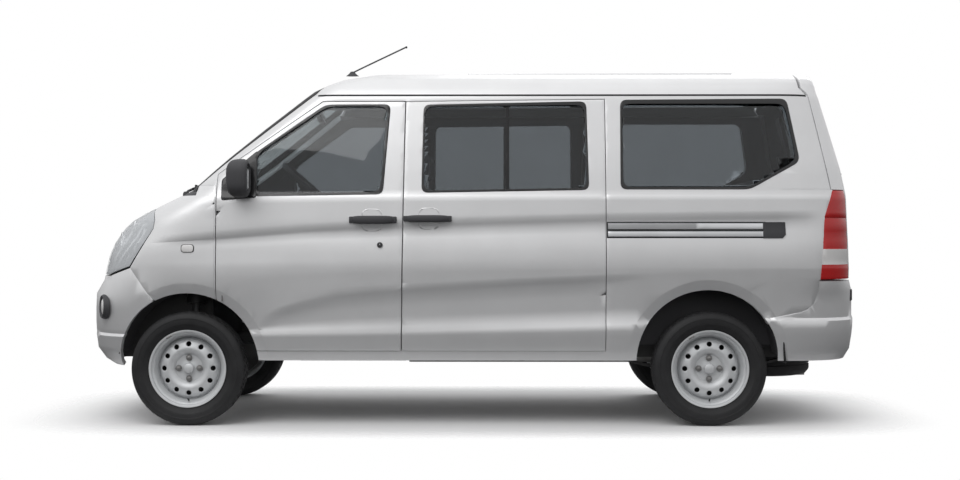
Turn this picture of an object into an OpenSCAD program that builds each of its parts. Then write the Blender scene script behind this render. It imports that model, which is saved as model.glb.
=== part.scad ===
// Compact one-box minivan: separate panels, doors and running gear at full size.
// Front is -X, rear is +X, left is -Y, up is +Z. The origin is on the ground under the middle of the body.

/* [Overall size] */
// Distance between the front and rear wheel centres
wheelbase = 2700; // [2400:10:3300]
// Foremost bumper face to front wheel centre
front_overhang = 590; // [560:5:720]
// Rear wheel centre to rearmost bumper face
rear_overhang = 820; // [780:5:980]
// Full width of the body, without mirrors
body_width = 1620; // [1560:10:1960]
// Height of the roof crown
body_height = 1873; // [1780:1:2260]

/* [Wheels] */
// Outer diameter of the tyres
tyre_diameter = 590; // [560:2:620]
// Width of the tyres
tyre_width = 168; // [145:1:185]
// Diameter of the rim flange
rim_diameter = 390; // [340:2:410]
// Bore of the hub for its spindle
hub_bore = 34; // [28:0.5:44]
// Distance between the left and right tyre centres
track = 1380; // [1360:5:1400]
// Space between tyre and wheel arch
arch_space = 70; // [55:1:75]

/* [Panels] */
// Gap around the doors, bonnet and tailgate
shut_gap = 6; // [5:0.5:9]
// Gap at the hinged edge of a front door
hinge_edge_gap = 10; // [8:0.5:14]
// Gap between panels that are bolted or bonded
bond_gap = 0.4; // [0.2:0.1:0.8]
// Thickness of a whole door
door_thickness = 45; // [35:1:52]
// Depth of the body side frame
side_depth = 90; // [80:1:110]
// Thickness of the roof, bonnet and wings
panel_thickness = 24; // [14:1:30]
// Thickness of the tailgate
tailgate_thickness = 50; // [35:1:60]
// Thickness of a window pane
glass_thickness = 5; // [4:0.5:8]
// Depth of a side pane below the outer skin
glass_depth = 9; // [6:1:16]

/* [Doors] */
// Front wheel centre to the front edge of the front door
door_front_offset = 156; // [150:1:170]
// Front wheel centre to the line between front and sliding door
door_mid_offset = 1107; // [1060:1:1200]
// Rear edge of the sliding door to the rear wheel centre
door_rear_offset = 538; // [500:1:600]
// Height of the lower edge of the doors
door_bottom = 387; // [380:1:400]
// Diameter of the hinge pins
hinge_pin_diameter = 8; // [6:0.5:10]

/* [Cabin] */
// Height of the floor
floor_height = 400; // [396:1:404]
// Diameter of the steering wheel
steering_wheel_diameter = 376; // [340:2:400]
// Width of one front seat
seat_width = 490; // [430:5:520]

/* [Hidden] */

$fn = 48;
half_width = body_width / 2;
body_length = front_overhang + wheelbase + rear_overhang;
nose_x = -body_length / 2;
tail_x = body_length / 2;
front_x = nose_x + front_overhang;
rear_x = tail_x - rear_overhang;
tyre_r = tyre_diameter / 2;
rim_r = rim_diameter / 2;
wheel_y = track / 2;
arch_r = tyre_r + arch_space;
front_arch_z = tyre_r + 27;
rear_arch_z = tyre_r + 44;

// Heights of the body outlines. Those above the belt move with the roof.
belt_height = 1200;
design_height = 1873;
roof_stretch = (body_height - belt_height) / (design_height - belt_height);
bottom_height = 300;
heights = [300, 330, 387, 486, 600, 700, 745, 820, 880, 940, 1012, 1055, 1095, 1140, 1180, 1215, 1245,
  1330, 1450, 1550, 1660, 1716, 1750, 1786, 1814, 1846, 1865, 1873];
// Height, and how far the side lies inside the widest point
side_tuck = [[300, 75], [387, 42], [486, 20], [600, 13], [700, 7], [820, 0], [940, 1], [1012, 9],
  [1180, 21], [1200, 29], [1330, 50], [1450, 72], [1550, 92], [1680, 119], [1716, 128], [1750, 150],
  [1786, 185], [1814, 230], [1846, 340], [1865, 560], [1873, 710]];
// Height, and how far the centreline lies behind the foremost face
nose_setback = [[300, 95], [330, 50], [387, 12], [486, 2], [560, 0], [700, 9], [745, 50], [880, 80],
  [940, 107], [1012, 154], [1055, 197], [1095, 265], [1140, 360], [1180, 447], [1215, 525],
  [1245, 563], [1330, 662], [1450, 808], [1550, 929], [1660, 1067], [1750, 1179], [1786, 1247],
  [1814, 1313], [1846, 1440], [1865, 1675], [1873, 1905]];
// Height, and how far the rear lies ahead of the rearmost face
tail_setback = [[300, 70], [330, 45], [387, 14], [486, 2], [560, 0], [700, 5], [745, 31], [1200, 46],
  [1330, 70], [1550, 130], [1750, 185], [1846, 193], [1865, 210], [1873, 275]];
// Height, and length of the rounded corner in plan
front_corner = [[1000, 590], [1128, 450], [1245, 300], [1400, 220], [1873, 250]];
rear_corner = [[700, 555], [745, 400]];
corner_steps = 8;
front_roundness = 2.7;
rear_roundness = 4;
inner_slope_share = 0.6;

function up(d) = d <= belt_height ? d : belt_height + (d - belt_height) * roof_stretch;
function width_at(d, t) = half_width - lookup(d + t, side_tuck) - t;
function nose_at(d, t) = nose_x + lookup(d + t, nose_setback) + inner_slope_share * t;
function tail_at(d, t) = tail_x - lookup(d + t, tail_setback) - t;
function corner(a, n, w, len) = [len * (1 - pow(sin(a), 2 / n)), w * pow(cos(a), 2 / n)];
function half_outline(d, t) =
  let (w = width_at(d, t), xn = nose_at(d, t), xt = tail_at(d, t))
  concat(
    [for (i = [corner_steps:-1:0])
      let (c = corner(90 * i / corner_steps, front_roundness, w, lookup(d, front_corner)))
      [xn + c[0], c[1]]],
    [for (i = [0:corner_steps])
      let (c = corner(90 * i / corner_steps, rear_roundness, w, lookup(d, rear_corner)))
      [xt - c[0], c[1]]]);
function ring(d, t) = let (h = half_outline(d, t))
  concat([for (p = h) [p[0], p[1], up(d)]], [for (p = h) [p[0], -p[1], up(d)]]);
function loft_levels(t) = concat(t > 0 ? [bottom_height - side_depth] : [],
  [for (d = heights) if (d < design_height - t) d], [design_height - t]);

// The whole body as a closed form, t inside its skin
module loft(t = 0) {
  levels = loft_levels(t);
  for (i = [0:len(levels) - 2]) {
    points = concat(ring(levels[i], t), ring(levels[i + 1], t));
    hull() polyhedron(points, [[for (k = [0:len(points) - 1]) k]]);
  }
}

// The layer of the body between two depths below its skin
module skin(from, to) difference() {
  loft(from);
  loft(to);
}

// An outline in the X-Z plane, extruded across the car from y0 to y1
module side_prism(y0 = -half_width - 200, y1 = half_width + 200)
  translate([0, y1, 0]) rotate([90, 0, 0]) linear_extrude(y1 - y0) children();

module box(x0, x1, y0, y1, z0, z1) translate([x0, y0, z0]) cube([x1 - x0, y1 - y0, z1 - z0]);

// The same thing on the left and mirrored on the right
module both_sides() {
  children();
  mirror([0, 1, 0]) children();
}

module across(x, z, r, y0, y1) translate([x, y1, z]) rotate([90, 0, 0])
  cylinder(r = r, h = y1 - y0, $fn = r > 100 ? 120 : 48);

// The outer part of the car on its left, further out than y
module left_of(y) box(nose_x - 100, tail_x + 100, -half_width - 300, -y, -100, body_height + 300);

// The round space of each wheel, cut through the panels
rear_arch_x = rear_x - 13;
module arches(front_inner = 0, rear_inner = 0) both_sides() {
  across(front_x, front_arch_z, arch_r, -half_width - 200, -front_inner);
  across(rear_arch_x, rear_arch_z, arch_r, -half_width - 200, -rear_inner);
  liner_space();
}
// The space of the liners inside the panels
liner_out = 10;
liner_in = 4;
liner_outer_y = 700;
apron_y = 435;
well_inner_y = 556;
module liner_space() {
  across(front_x, front_arch_z, arch_r + liner_out, -liner_outer_y - bond_gap, -apron_y);
  across(rear_arch_x, rear_arch_z, arch_r + liner_out, -liner_outer_y - bond_gap, -well_inner_y + bond_gap);
}

// Outlines of the doors
front_edge = front_x + door_front_offset;
mid_edge = front_x + door_mid_offset;
rear_edge = rear_x - door_rear_offset;
pillar_lean = 19;
door_top = 1680;
module front_door_shape() difference() {
  polygon([[front_edge, door_bottom + 3], [mid_edge - shut_gap / 2, door_bottom + 3],
    [mid_edge + pillar_lean - shut_gap / 2, up(door_top)], [front_x + 695, up(door_top)],
    [front_edge, up(1300)]]);
  translate([front_x, front_arch_z]) circle(r = arch_r);
}
module sliding_door_shape() polygon([[mid_edge + shut_gap / 2, door_bottom + 3],
  [rear_edge - shut_gap / 2, door_bottom + 3], [rear_edge - shut_gap / 2, up(door_top + 12)],
  [mid_edge + pillar_lean + shut_gap / 2, up(door_top)]]);

// Outlines of the panes
module front_window_shape() polygon([[front_x + 353, up(1196)], [mid_edge - 106, up(1205)],
  [mid_edge - 68, up(1660)], [front_x + 715, up(1660)], [front_x + 353, up(1405)]]);
module sliding_window_shape() polygon([[mid_edge + 112, up(1212)], [rear_edge - 95, up(1226)],
  [rear_edge - 103, up(1668)], [mid_edge + 118, up(1660)]]);
module quarter_window_shape() polygon([[rear_edge + 86, up(1230)], [rear_x + 200, up(1230)],
  [rear_x + 450, up(1372)], [rear_x + 398, up(1674)], [rear_edge + 84, up(1674)]]);
module rear_window_shape() polygon([[-570, up(1270)], [570, up(1270)], [520, up(1700)], [-520, up(1700)]]);

// Line of the pillar between windscreen and front door, and the outlines of the panels beside it
pillar_line = [[front_x + 43, up(1245)], [front_x + 149, up(1330)], [front_x + 651, up(1724)],
  [front_x + 690, up(1775)], [front_x + 615, up(1850)]];
gate_top_x = rear_x + 491;
light_line = [[rear_x + 559, 754], [rear_x + 584, 1083], [rear_x + 634, up(1220)]];
gate_line = [[rear_x + 622, up(1220)], [rear_x + 525, up(1721)]];
bumper_line = [[rear_x + 306, 560], [rear_x + 460, 591], [rear_x + 498, 606], [rear_x + 529, 634],
  [rear_x + 551, 696], [rear_x + 554, 754]];
gutter = up(1716);
wing_rear_x = front_edge - hinge_edge_gap;

module side_shape() polygon(concat([[wing_rear_x, 338], [rear_x + 306, 338]], bumper_line, light_line,
  gate_line, [[rear_x + 524, gutter]], [[front_x + 641, gutter]],
  [pillar_line[1]], [pillar_line[0]], [[wing_rear_x, up(1245)]]));

hinge_x = front_edge + 30;
hinge_y = half_width - 18;
pin_r = hinge_pin_diameter / 2;
door_hinge_heights = [690, 970];
hinge_half = 30;
hinge_flat_y = half_width - 82;
frame_inner_y = half_width - 270;

// Space in the body side for the hinges of one front door
module hinge_strip() intersection() {
  skin(-5, door_thickness + shut_gap + 20);
  box(wing_rear_x, hinge_x + 21, -half_width - 5, 0, door_bottom, up(1325));
}

module side_panel_left() color("silver") difference() {
  intersection() {
    union() {
      intersection() {
        skin(0, side_depth);
        side_prism() side_shape();
      }
      intersection() {
        skin(panel_thickness + bond_gap, side_depth);
        box(wing_rear_x - 73, wing_rear_x + 1, -half_width, 0, 640, up(1240));
      }
    }
    left_of(frame_inner_y);
  }
  intersection() {
    skin(-5, door_thickness + shut_gap + 2);
    side_prism() offset(delta = shut_gap) front_door_shape();
  }
  intersection() {
    skin(-5, door_thickness + bond_gap);
    side_prism() offset(delta = shut_gap) sliding_door_shape();
  }
  side_prism() {
    offset(delta = -30) front_door_shape();
    offset(delta = -30) sliding_door_shape();
    quarter_window_shape();
    intersection() {
      offset(delta = shut_gap) front_door_shape();
      translate([wing_rear_x, up(1240)]) square([320, 400]);
    }
  }
  hinge_strip();
  for (z = door_hinge_heights)
    box(wing_rear_x - 1, hinge_x + 21, -half_width, -hinge_flat_y, z - hinge_half - 12, z + hinge_half + 12);
  intersection() {
    skin(-5, rail_depth + bond_gap);
    box(rail_x0 - bond_gap, rail_x1 + bond_gap, -half_width, 0, rail_z0 - bond_gap, rail_z1 + bond_gap);
  }
  arches();
}

module side_panels() both_sides() side_panel_left();

// The bonnet's outline in plan, narrower at the front
bonnet_front_half = 464;
bonnet_rear_half = 505;
module bonnet_plan(gap) translate([0, 0, 700]) linear_extrude(700)
  polygon([[nose_x - 50, -bonnet_front_half - gap], [front_x, -bonnet_rear_half - gap],
    [front_x, bonnet_rear_half + gap], [nose_x - 50, bonnet_front_half + gap]]);

cowl_z0 = 1192;
lamp_line = [[front_x - 297, 820], [front_x - 175, 1019], [front_x - 170, 1067], [front_x - 196, 1127]];
front_bumper_joint = [[front_x - 175, 652], [front_x - 297, 816]];

module front_wings() color("silver") both_sides() difference() {
  intersection() {
    skin(0, panel_thickness);
    left_of(frame_inner_y - 80);
    side_prism() polygon(concat([[wing_rear_x - bond_gap, 600], [wing_rear_x - bond_gap, up(1245) - 1],
      [front_x + 41, up(1245) - 1], [front_x + 40, cowl_z0], [front_x - 207, cowl_z0]],
      [for (i = [3:-1:0]) lamp_line[i]], [for (i = [1:-1:0]) front_bumper_joint[i]]));
  }
  bonnet_plan(shut_gap + 1.5);
  arches();
}

module roof_panel() color("silver") difference() {
  intersection() {
    skin(0, panel_thickness);
    side_prism() polygon([[front_x + 641.5, gutter + bond_gap], pillar_line[2] + [bond_gap, 0],
      pillar_line[3] + [bond_gap, 0], pillar_line[4] + [bond_gap, bond_gap],
      [front_x + 615, body_height + 50], [gate_top_x - 11, body_height + 50], [gate_top_x - 11, up(1840)],
      [rear_x + 522 - shut_gap, gutter + bond_gap]]);
  }
  gate_hinge_flats();
}

module windscreen() color([0.2, 0.24, 0.26]) intersection() {
  skin(0, glass_thickness + 1);
  side_prism() offset(delta = -bond_gap)
    polygon(concat([[nose_x, up(1246)]], pillar_line, [[nose_x, up(1850)]]));
}

module cowl_panel() color([0.1, 0.1, 0.1]) intersection() {
  skin(0, 20);
  side_prism() polygon([[nose_x, cowl_z0 + bond_gap], [front_x + 39, cowl_z0 + bond_gap],
    [front_x + 41, up(1245)], [nose_x, up(1245)]]);
}

bumper_top = 772;
intake_half = 400;
module front_bumper() color("silver") difference() {
  intersection() {
    skin(0, 38);
    side_prism() offset(delta = -bond_gap) polygon([[nose_x - 50, 290], [front_x - 175, 290],
      front_bumper_joint[0], front_bumper_joint[1], [nose_x + 160, bumper_top], [nose_x - 50, bumper_top]]);
  }
  box(nose_x - 10, nose_x + 100, -intake_half, intake_half, 370, 460);
  arches();
}

grille_half = 446;
grille_top = 925;
module front_grille() color([0.12, 0.12, 0.12]) difference() {
  intersection() {
    skin(3, 20);
    box(nose_x - 20, nose_x + 400, -grille_half, grille_half, bumper_top + bond_gap, grille_top);
  }
  for (z = [800, 840, 880])
    box(nose_x - 20, nose_x + 400, -grille_half + 30, grille_half - 30, z, z + 22);
}

module headlights() color([0.8, 0.85, 0.9]) both_sides() difference() {
  intersection() {
    skin(0, 60);
    left_of(grille_half);
    side_prism() offset(delta = -bond_gap)
      polygon(concat([[nose_x - 50, bumper_top]], [[nose_x + 160, bumper_top]], [front_bumper_joint[1]],
        lamp_line, [[nose_x - 50, 1127]]));
  }
  difference() {
    bonnet_plan(shut_gap + 1.5);
    box(nose_x - 100, front_x + 50, -half_width, half_width, 0, grille_top + 1);
  }
  box(nose_x - 10, nose_x + 400, -grille_half - bond_gap, 0, 700, 1200);
}

light_inner_y = 640;
module tail_lights() color([0.7, 0.05, 0.05]) both_sides() intersection() {
  skin(0, 50);
  left_of(light_inner_y);
  side_prism() offset(delta = -bond_gap)
    polygon(concat(light_line, [[tail_x + 50, up(1220)], [tail_x + 50, 754]]));
}

module rear_bumper() color("silver") difference() {
  intersection() {
    skin(0, 38);
    side_prism() offset(delta = -bond_gap)
      polygon(concat([[tail_x + 50, 335], [rear_x + 306, 335]], bumper_line, [[tail_x + 50, 750]]));
  }
  arches();
}

module sliding_doors() color("silver") both_sides() difference() {
  intersection() {
    skin(0, door_thickness);
    left_of(frame_inner_y);
    side_prism() sliding_door_shape();
  }
  side_prism() sliding_window_shape();
}

module pane() intersection() {
  skin(glass_depth, glass_depth + glass_thickness);
  left_of(frame_inner_y);
  side_prism() offset(delta = -bond_gap) children();
}

module side_windows() color([0.15, 0.17, 0.18]) both_sides() {
  pane() sliding_window_shape();
  pane() quarter_window_shape();
}

rail_depth = 16;
rail_x0 = rear_edge + shut_gap;
rail_x1 = rear_x + 389;
rail_z0 = 977;
rail_z1 = 1049;
module slide_rails() color("lightgrey") both_sides() intersection() {
  skin(0, rail_depth);
  box(rail_x0, rail_x1, -half_width, 0, rail_z0, rail_z1);
}

// Floor, bulkhead and the box that carries the front seats
bulkhead_x = front_x + 75;
floor_top = floor_height + 12;
seat_box_x0 = front_x + 465;
seat_box_x1 = front_x + 1165;
seat_box_half = half_width - 170;
seat_box_top = 620;
module floor_pan() color("dimgray") difference() {
  intersection() {
    loft(side_depth + bond_gap);
    union() {
      difference() {
        box(bulkhead_x - 8, tail_x - 65, -half_width, half_width, floor_height, floor_top);
        box(seat_box_x0 + 10, seat_box_x1 - 10, -seat_box_half + 10, seat_box_half - 10, 0, floor_top + 1);
      }
      box(bulkhead_x - 8, bulkhead_x, -half_width, half_width, floor_top - 1, cowl_z0 - 60);
      difference() {
        box(seat_box_x0, seat_box_x1, -seat_box_half, seat_box_half, floor_top - 1, seat_box_top);
        box(seat_box_x0 + 10, seat_box_x1 - 10, -seat_box_half + 10, seat_box_half - 10, 0,
          seat_box_top - 10);
      }
    }
  }
  arches(apron_y, well_inner_y);
  column_bore(26);
}

// Rails and cross members
rail_y0 = 360;
rail_y1 = 420;
rail_low = 330;
cross_top = 350;
apron_inner_y = 428;
tower_z = 820;
sub_z0 = 148;
sub_z1 = 190;
jack_x = (mid_edge + rear_edge) / 2 + 130;
tow_ring_r = 13;
tow_y = rail_y0 - 30;

// A flat lug on the inner side of a rail, with an upright hole for a shackle pin
module tow_eye(x) difference() {
  union() {
    translate([x, -tow_y, rail_low + 6]) cylinder(r = 24, h = 14);
    box(x - 24, x + 24, -rail_y0 - 1, -tow_y, rail_low + 6, rail_low + 20);
  }
  translate([x, -tow_y, rail_low]) cylinder(r = tow_ring_r, h = 30);
}

module chassis_frame() color([0.15, 0.15, 0.15]) {
  both_sides() {
    box(nose_x + 160, rear_x + 700, -rail_y1, -rail_y0, rail_low, floor_height - bond_gap);
    box(front_x - 30, front_x + 30, -rail_y1 + 20, -rail_y1 + 60, sub_z0, rail_low + 1);
    tow_eye(nose_x + 255);
    tow_eye(rear_x + 605);
    box(jack_x - 40, jack_x + 40, -rail_y1 + 2, -rail_y0 - 2, rail_low - 10, rail_low + 1);
  }
  for (x = [nose_x + 160, mid_edge + 470, rear_x + 640])
    box(x, x + 60, -rail_y0 - 1, rail_y0 + 1, rail_low, cross_top);
  box(front_x - 30, front_x + 30, -rail_y1 + 21, rail_y1 - 21, sub_z0, sub_z1);
}

// Upright inner wings beside the rails, with the strut tops
module inner_wings() color([0.15, 0.15, 0.15]) both_sides() {
  box(nose_x + 160, bulkhead_x - 9, -apron_y, -apron_inner_y, rail_low + 40, tower_z);
  box(nose_x + 160, bulkhead_x - 9, -apron_inner_y - 1, -rail_y1 - bond_gap, rail_low + 40,
    floor_height - bond_gap);
  difference() {
    box(front_x - 90, bulkhead_x - 9, -620, -apron_y + 1, tower_z - 10, tower_z);
    translate([front_x, -strut_top_y, tower_z - 20]) cylinder(r = 16, h = 40);
  }
}

module liner(x, z, y0, y1) difference() {
  across(x, z, arch_r + liner_out - bond_gap, -y1, -y0);
  across(x, z, arch_r + liner_in, -y1 - 1, -y0 + 1);
  box(x - 500, x + 500, -y1 - 2, -y0 + 2, -200, door_bottom - 20);
}
module arch_liners() color([0.1, 0.1, 0.1]) both_sides() {
  difference() {
    liner(front_x, front_arch_z, apron_y + bond_gap, liner_outer_y);
    box(front_x - 75, front_x + 75, -620, 0, 600, 900);
  }
  liner(rear_arch_x, rear_arch_z, well_inner_y, liner_outer_y);
  difference() {
    across(rear_arch_x, rear_arch_z, arch_r + liner_in + 1, -well_inner_y - 6, -well_inner_y);
    box(rear_x - 500, rear_x + 500, -half_width, 0, -200, door_bottom + 20);
  }
}

// Steering column axis, from the wheel's centre down to the bulkhead
wheel_tilt = 43;
column_x = front_x + 579;
column_y = 370;
column_z = 1245;
module on_column() translate([column_x, -column_y, column_z]) rotate([0, wheel_tilt, 0]) children();
module column_bore(r) on_column() translate([0, 0, -900]) cylinder(r = r, h = 890);
column_length = (column_x - bulkhead_x) / sin(wheel_tilt) - 16;
module steering_column() color([0.12, 0.12, 0.12]) on_column() difference() {
  translate([0, 0, -column_length]) cylinder(r = 25.5, h = column_length - 30);
  translate([0, 0, -75]) cylinder(r = 8.05, h = 60);
}
module steering_wheel() color([0.08, 0.08, 0.08]) on_column() {
  rotate_extrude() translate([steering_wheel_diameter / 2 - 12, 0]) circle(r = 12);
  translate([0, 0, -28]) cylinder(r = 42, h = 36);
  translate([0, 0, -70]) cylinder(r = 8, h = 50);
  for (a = [90, 210, 330])
    rotate([0, 0, a]) box(30, steering_wheel_diameter / 2 - 12, -13, 13, -8, 2);
}

dash_rear_x = front_x + 335;
module dashboard() color([0.18, 0.18, 0.19]) difference() {
  intersection() {
    loft(side_depth + bond_gap);
    side_prism() polygon([[bulkhead_x + bond_gap, 940], [bulkhead_x + bond_gap, 1120],
      [front_x + 100, 1175], [dash_rear_x - 40, 1135], [dash_rear_x, 1090], [dash_rear_x - 10, 980],
      [dash_rear_x - 80, 930]]);
  }
  column_bore(27);
}

// Seats: plain solids of their true outer size
cushion_z0 = 642;
module seat_cushion(x0, x1, half, z0, z1) hull() for (x = [x0 + 45, x1 - 45], z = [z0 + 45, z1 - 45])
  translate([x, 0, z]) rotate([90, 0, 0]) cylinder(r = 45, h = 2 * half, center = true, $fn = 32);
module seat_back(x, half, z0, z1, lean) hull() {
  translate([x, 0, z0 + 50]) rotate([90, 0, 0]) cylinder(r = 50, h = 2 * half, center = true, $fn = 32);
  translate([x + lean, 0, z1 - 40]) rotate([90, 0, 0])
    cylinder(r = 40, h = 2 * half - 60, center = true, $fn = 32);
}
seat_x = front_x + 570;
seat_y = 370;
middle_x = mid_edge + 440;
rear_seat_x = rear_x - 330;
module front_seats() color([0.3, 0.31, 0.33]) for (s = [-1, 1]) translate([0, s * seat_y, 0]) {
  seat_cushion(seat_x, seat_x + 490, seat_width / 2, cushion_z0, cushion_z0 + 150);
  seat_back(seat_x + 529, seat_width / 2 - 5, cushion_z0 + 100, 1290, 95);
  translate([seat_x + 624, 0, 1290.3]) seat_cushion(-50, 50, 120, 0, 160);
}
module bench(x, half, top) {
  seat_cushion(x, x + 470, half, cushion_z0, cushion_z0 + 140);
  seat_back(x + 509, half - 5, cushion_z0 + 90, top, 100);
}
module middle_seat() color([0.3, 0.31, 0.33]) bench(middle_x, 590, 1310);
module rear_seat() color([0.3, 0.31, 0.33]) bench(rear_seat_x, 545, 1310);
module seat_frames() color([0.2, 0.2, 0.2]) {
  for (s = [-1, 1]) box(seat_x + 60, seat_x + 430, s * seat_y - 180, s * seat_y + 180,
    seat_box_top + bond_gap, cushion_z0 - bond_gap);
  for (x = [middle_x, rear_seat_x]) {
    box(x + 60, x + 410, -500, 500, cushion_z0 - 26, cushion_z0 - bond_gap);
    for (s = [-1, 1]) box(x + 80, x + 390, s * 440 - 20, s * 440 + 20, floor_top + bond_gap, cushion_z0 - 25);
  }
}

// Engine under the front seats, and the drive to the rear axle
engine_x1 = seat_box_x1 - 60;
shaft_z = tyre_r;
module engine() color([0.4, 0.4, 0.4]) box(seat_box_x0 + 60, engine_x1, -300, 300, 298, 590);
diff_r = 92;
module propeller_shaft() color([0.3, 0.3, 0.3]) translate([engine_x1 + bond_gap, 0, shaft_z])
  rotate([0, 90, 0]) cylinder(r = 30, h = rear_x - diff_r - engine_x1 - 2 * bond_gap);
axle_r = 30;
spindle_y0 = wheel_y - 88;
spindle_y1 = wheel_y + 36;
module rear_axle() color([0.2, 0.2, 0.2]) {
  across(rear_x, tyre_r, axle_r, -spindle_y0, spindle_y0);
  across(rear_x, tyre_r, diff_r, -60, 60);
  both_sides() {
    across(rear_x, tyre_r, hub_bore / 2, -spindle_y1, -spindle_y0 + 1);
    across(rear_x, tyre_r, 125, -wheel_y + 42, -wheel_y + 62);
  }
}
spring_half = 450;
spring_steps = 12;
function spring_z(u) = tyre_r - axle_r - bond_gap + (rail_low - tyre_r + axle_r) * u * u;
module leaf_springs() color([0.15, 0.15, 0.15]) both_sides()
  side_prism(-rail_y1 + 5, -rail_y0 - 5) polygon(concat(
    [for (i = [-spring_steps:spring_steps]) let (u = i / spring_steps)
      [rear_x + u * spring_half, spring_z(u)]],
    [for (i = [spring_steps:-1:-spring_steps]) let (u = i / spring_steps)
      [rear_x + u * spring_half, spring_z(u) - 24 + 14 * abs(u)]]));

module fuel_tank() color([0.2, 0.2, 0.2])
  box(mid_edge + 560, mid_edge + 1040, 45, 345, 275, floor_height - bond_gap);
exhaust_y = 200;
pipe_r = 22;
pipe_z = floor_height - bond_gap - pipe_r;
module exhaust() color([0.5, 0.48, 0.45]) difference() {
  union() {
    translate([engine_x1 + bond_gap, -exhaust_y, pipe_z]) rotate([0, 90, 0])
      cylinder(r = pipe_r, h = tail_x - 70 - engine_x1);
    translate([mid_edge + 560, -exhaust_y, pipe_z - 32]) rotate([0, 90, 0]) cylinder(r = 52, h = 480);
  }
  translate([tail_x - 400, -exhaust_y, pipe_z]) rotate([0, 90, 0]) cylinder(r = pipe_r - 3, h = 400);
}

bead_half = tyre_width * 0.39;
module tyre_shape(width) polygon([[rim_r - 17, -bead_half], [rim_r + 2, -bead_half],
  [tyre_r - 58, -width / 2], [tyre_r - 28, -width * 0.485], [tyre_r - 8, -width * 0.42],
  [tyre_r, -width * 0.33], [tyre_r, width * 0.33], [tyre_r - 8, width * 0.42],
  [tyre_r - 28, width * 0.485], [tyre_r - 58, width / 2], [rim_r + 2, bead_half],
  [rim_r - 17, bead_half]]);
module tyre() color([0.06, 0.06, 0.06]) rotate_extrude($fn = 96) tyre_shape(tyre_width);

bead_r = rim_r - 17 - bond_gap;
flange_z = bead_half + bond_gap;
disc_z = 40;
stud_circle = 50;
hole_count = 12;
module rim() color("silver") difference() {
  rotate_extrude($fn = 96) polygon([[hub_bore / 2 + 0.05, -22], [hub_bore / 2 + 18, -22],
    [hub_bore / 2 + 20, disc_z - 8], [92, disc_z - 20], [bead_r - 26, disc_z - 4], [bead_r - 8, disc_z - 30],
    [bead_r - 8, -flange_z - 3], [rim_r, -flange_z - 5], [rim_r, -flange_z], [bead_r, -flange_z],
    [bead_r, flange_z], [rim_r, flange_z], [rim_r, flange_z + 5], [bead_r - 4, flange_z + 3],
    [bead_r - 18, disc_z + 8], [92, disc_z - 10], [58, disc_z + 4], [32, disc_z + 4], [30, disc_z + 18],
    [0, disc_z + 20], [0, disc_z], [hub_bore / 2 + 0.05, disc_z]]);
  for (i = [0:hole_count - 1]) rotate([0, 0, (i + 0.5) * 360 / hole_count])
    translate([(bead_r + 88) / 2, 0, -60]) cylinder(r = 11, h = 160);
}
module wheel_nuts() color([0.5, 0.5, 0.5]) for (i = [0:3]) rotate([0, 0, 45 + 90 * i])
  translate([stud_circle, 0, disc_z]) cylinder(r = 9, h = 16);
module full_rim() {
  rim();
  wheel_nuts();
}
module on_wheel(x, side) translate([x, side * wheel_y, tyre_r]) rotate([side < 0 ? 90 : -90, 0, 0]) children();

spare_x = rear_x + 400;
spare_r = 268;
module spare_wheel() color([0.1, 0.1, 0.1]) translate([spare_x, 0, 205]) {
  rotate_extrude($fn = 96) polygon([[165, 8], [spare_r - 40, 0], [spare_r, 22], [spare_r, 98],
    [spare_r - 40, 120], [165, 112]]);
  cylinder(r = 166, h = 14);
  cylinder(r = 14, h = floor_height - 205 - bond_gap);
}

// Front strut, lower arm and the knuckle between them
kingpin_y = wheel_y - 50;
arm_z0 = 150;
arm_z1 = 174;
top_z0 = 416;
strut_top_y = 505;
post_r = 15;
king_r = 8;
module front_suspension() color([0.15, 0.15, 0.15]) both_sides() {
  box(front_x - 17, front_x + 17, -kingpin_y, -rail_y1 - 40 - bond_gap, arm_z0, arm_z1);
  translate([front_x, -kingpin_y, arm_z0]) cylinder(r = 20, h = arm_z1 - arm_z0);
  translate([front_x, -kingpin_y, arm_z0]) cylinder(r = king_r, h = arm_z1 - arm_z0 + 28);
  translate([front_x, -kingpin_y, top_z0 - 28]) cylinder(r = king_r, h = 50);
  translate([front_x, -kingpin_y, top_z0]) cylinder(r = 18, h = 22);
  box(front_x - 16, front_x + 16, -kingpin_y, -560, top_z0, top_z0 + 22);
  strut_lean = atan2(565 - strut_top_y, tower_z - top_z0);
  translate([front_x, -560, top_z0]) rotate([-strut_lean, 0, 0]) {
    cylinder(r = 22, h = 300);
    cylinder(r = 11, h = (tower_z - top_z0) + 12);
    translate([0, 0, 210]) cylinder(r = 52, h = 170);
  }
}
module knuckle() color([0.25, 0.25, 0.25]) difference() {
  union() {
    translate([front_x, -kingpin_y, arm_z1 + bond_gap]) cylinder(r = post_r, h = top_z0 - arm_z1 - 2 * bond_gap);
    across(front_x, tyre_r, 42, -wheel_y + 25, -kingpin_y + 20);
    across(front_x, tyre_r, hub_bore / 2, -spindle_y1, -kingpin_y);
    across(front_x, tyre_r, 118, -wheel_y + 25, -wheel_y + 37);
  }
  for (z = [arm_z1, top_z0 - 30]) translate([front_x, -kingpin_y, z - 1]) cylinder(r = king_r + 0.05, h = 32);
}

module aerial() color([0.1, 0.1, 0.1]) {
  intersection() {
    skin(-10, -0.4);
    box(front_x + 780, front_x + 850, -364, -336, 1500, body_height + 60);
  }
  hull() {
    translate([front_x + 808, -350, up(1842)]) sphere(r = 4, $fn = 16);
    translate([front_x + 1112, -350, up(2012)]) sphere(r = 2.5, $fn = 16);
  }
}

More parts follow.
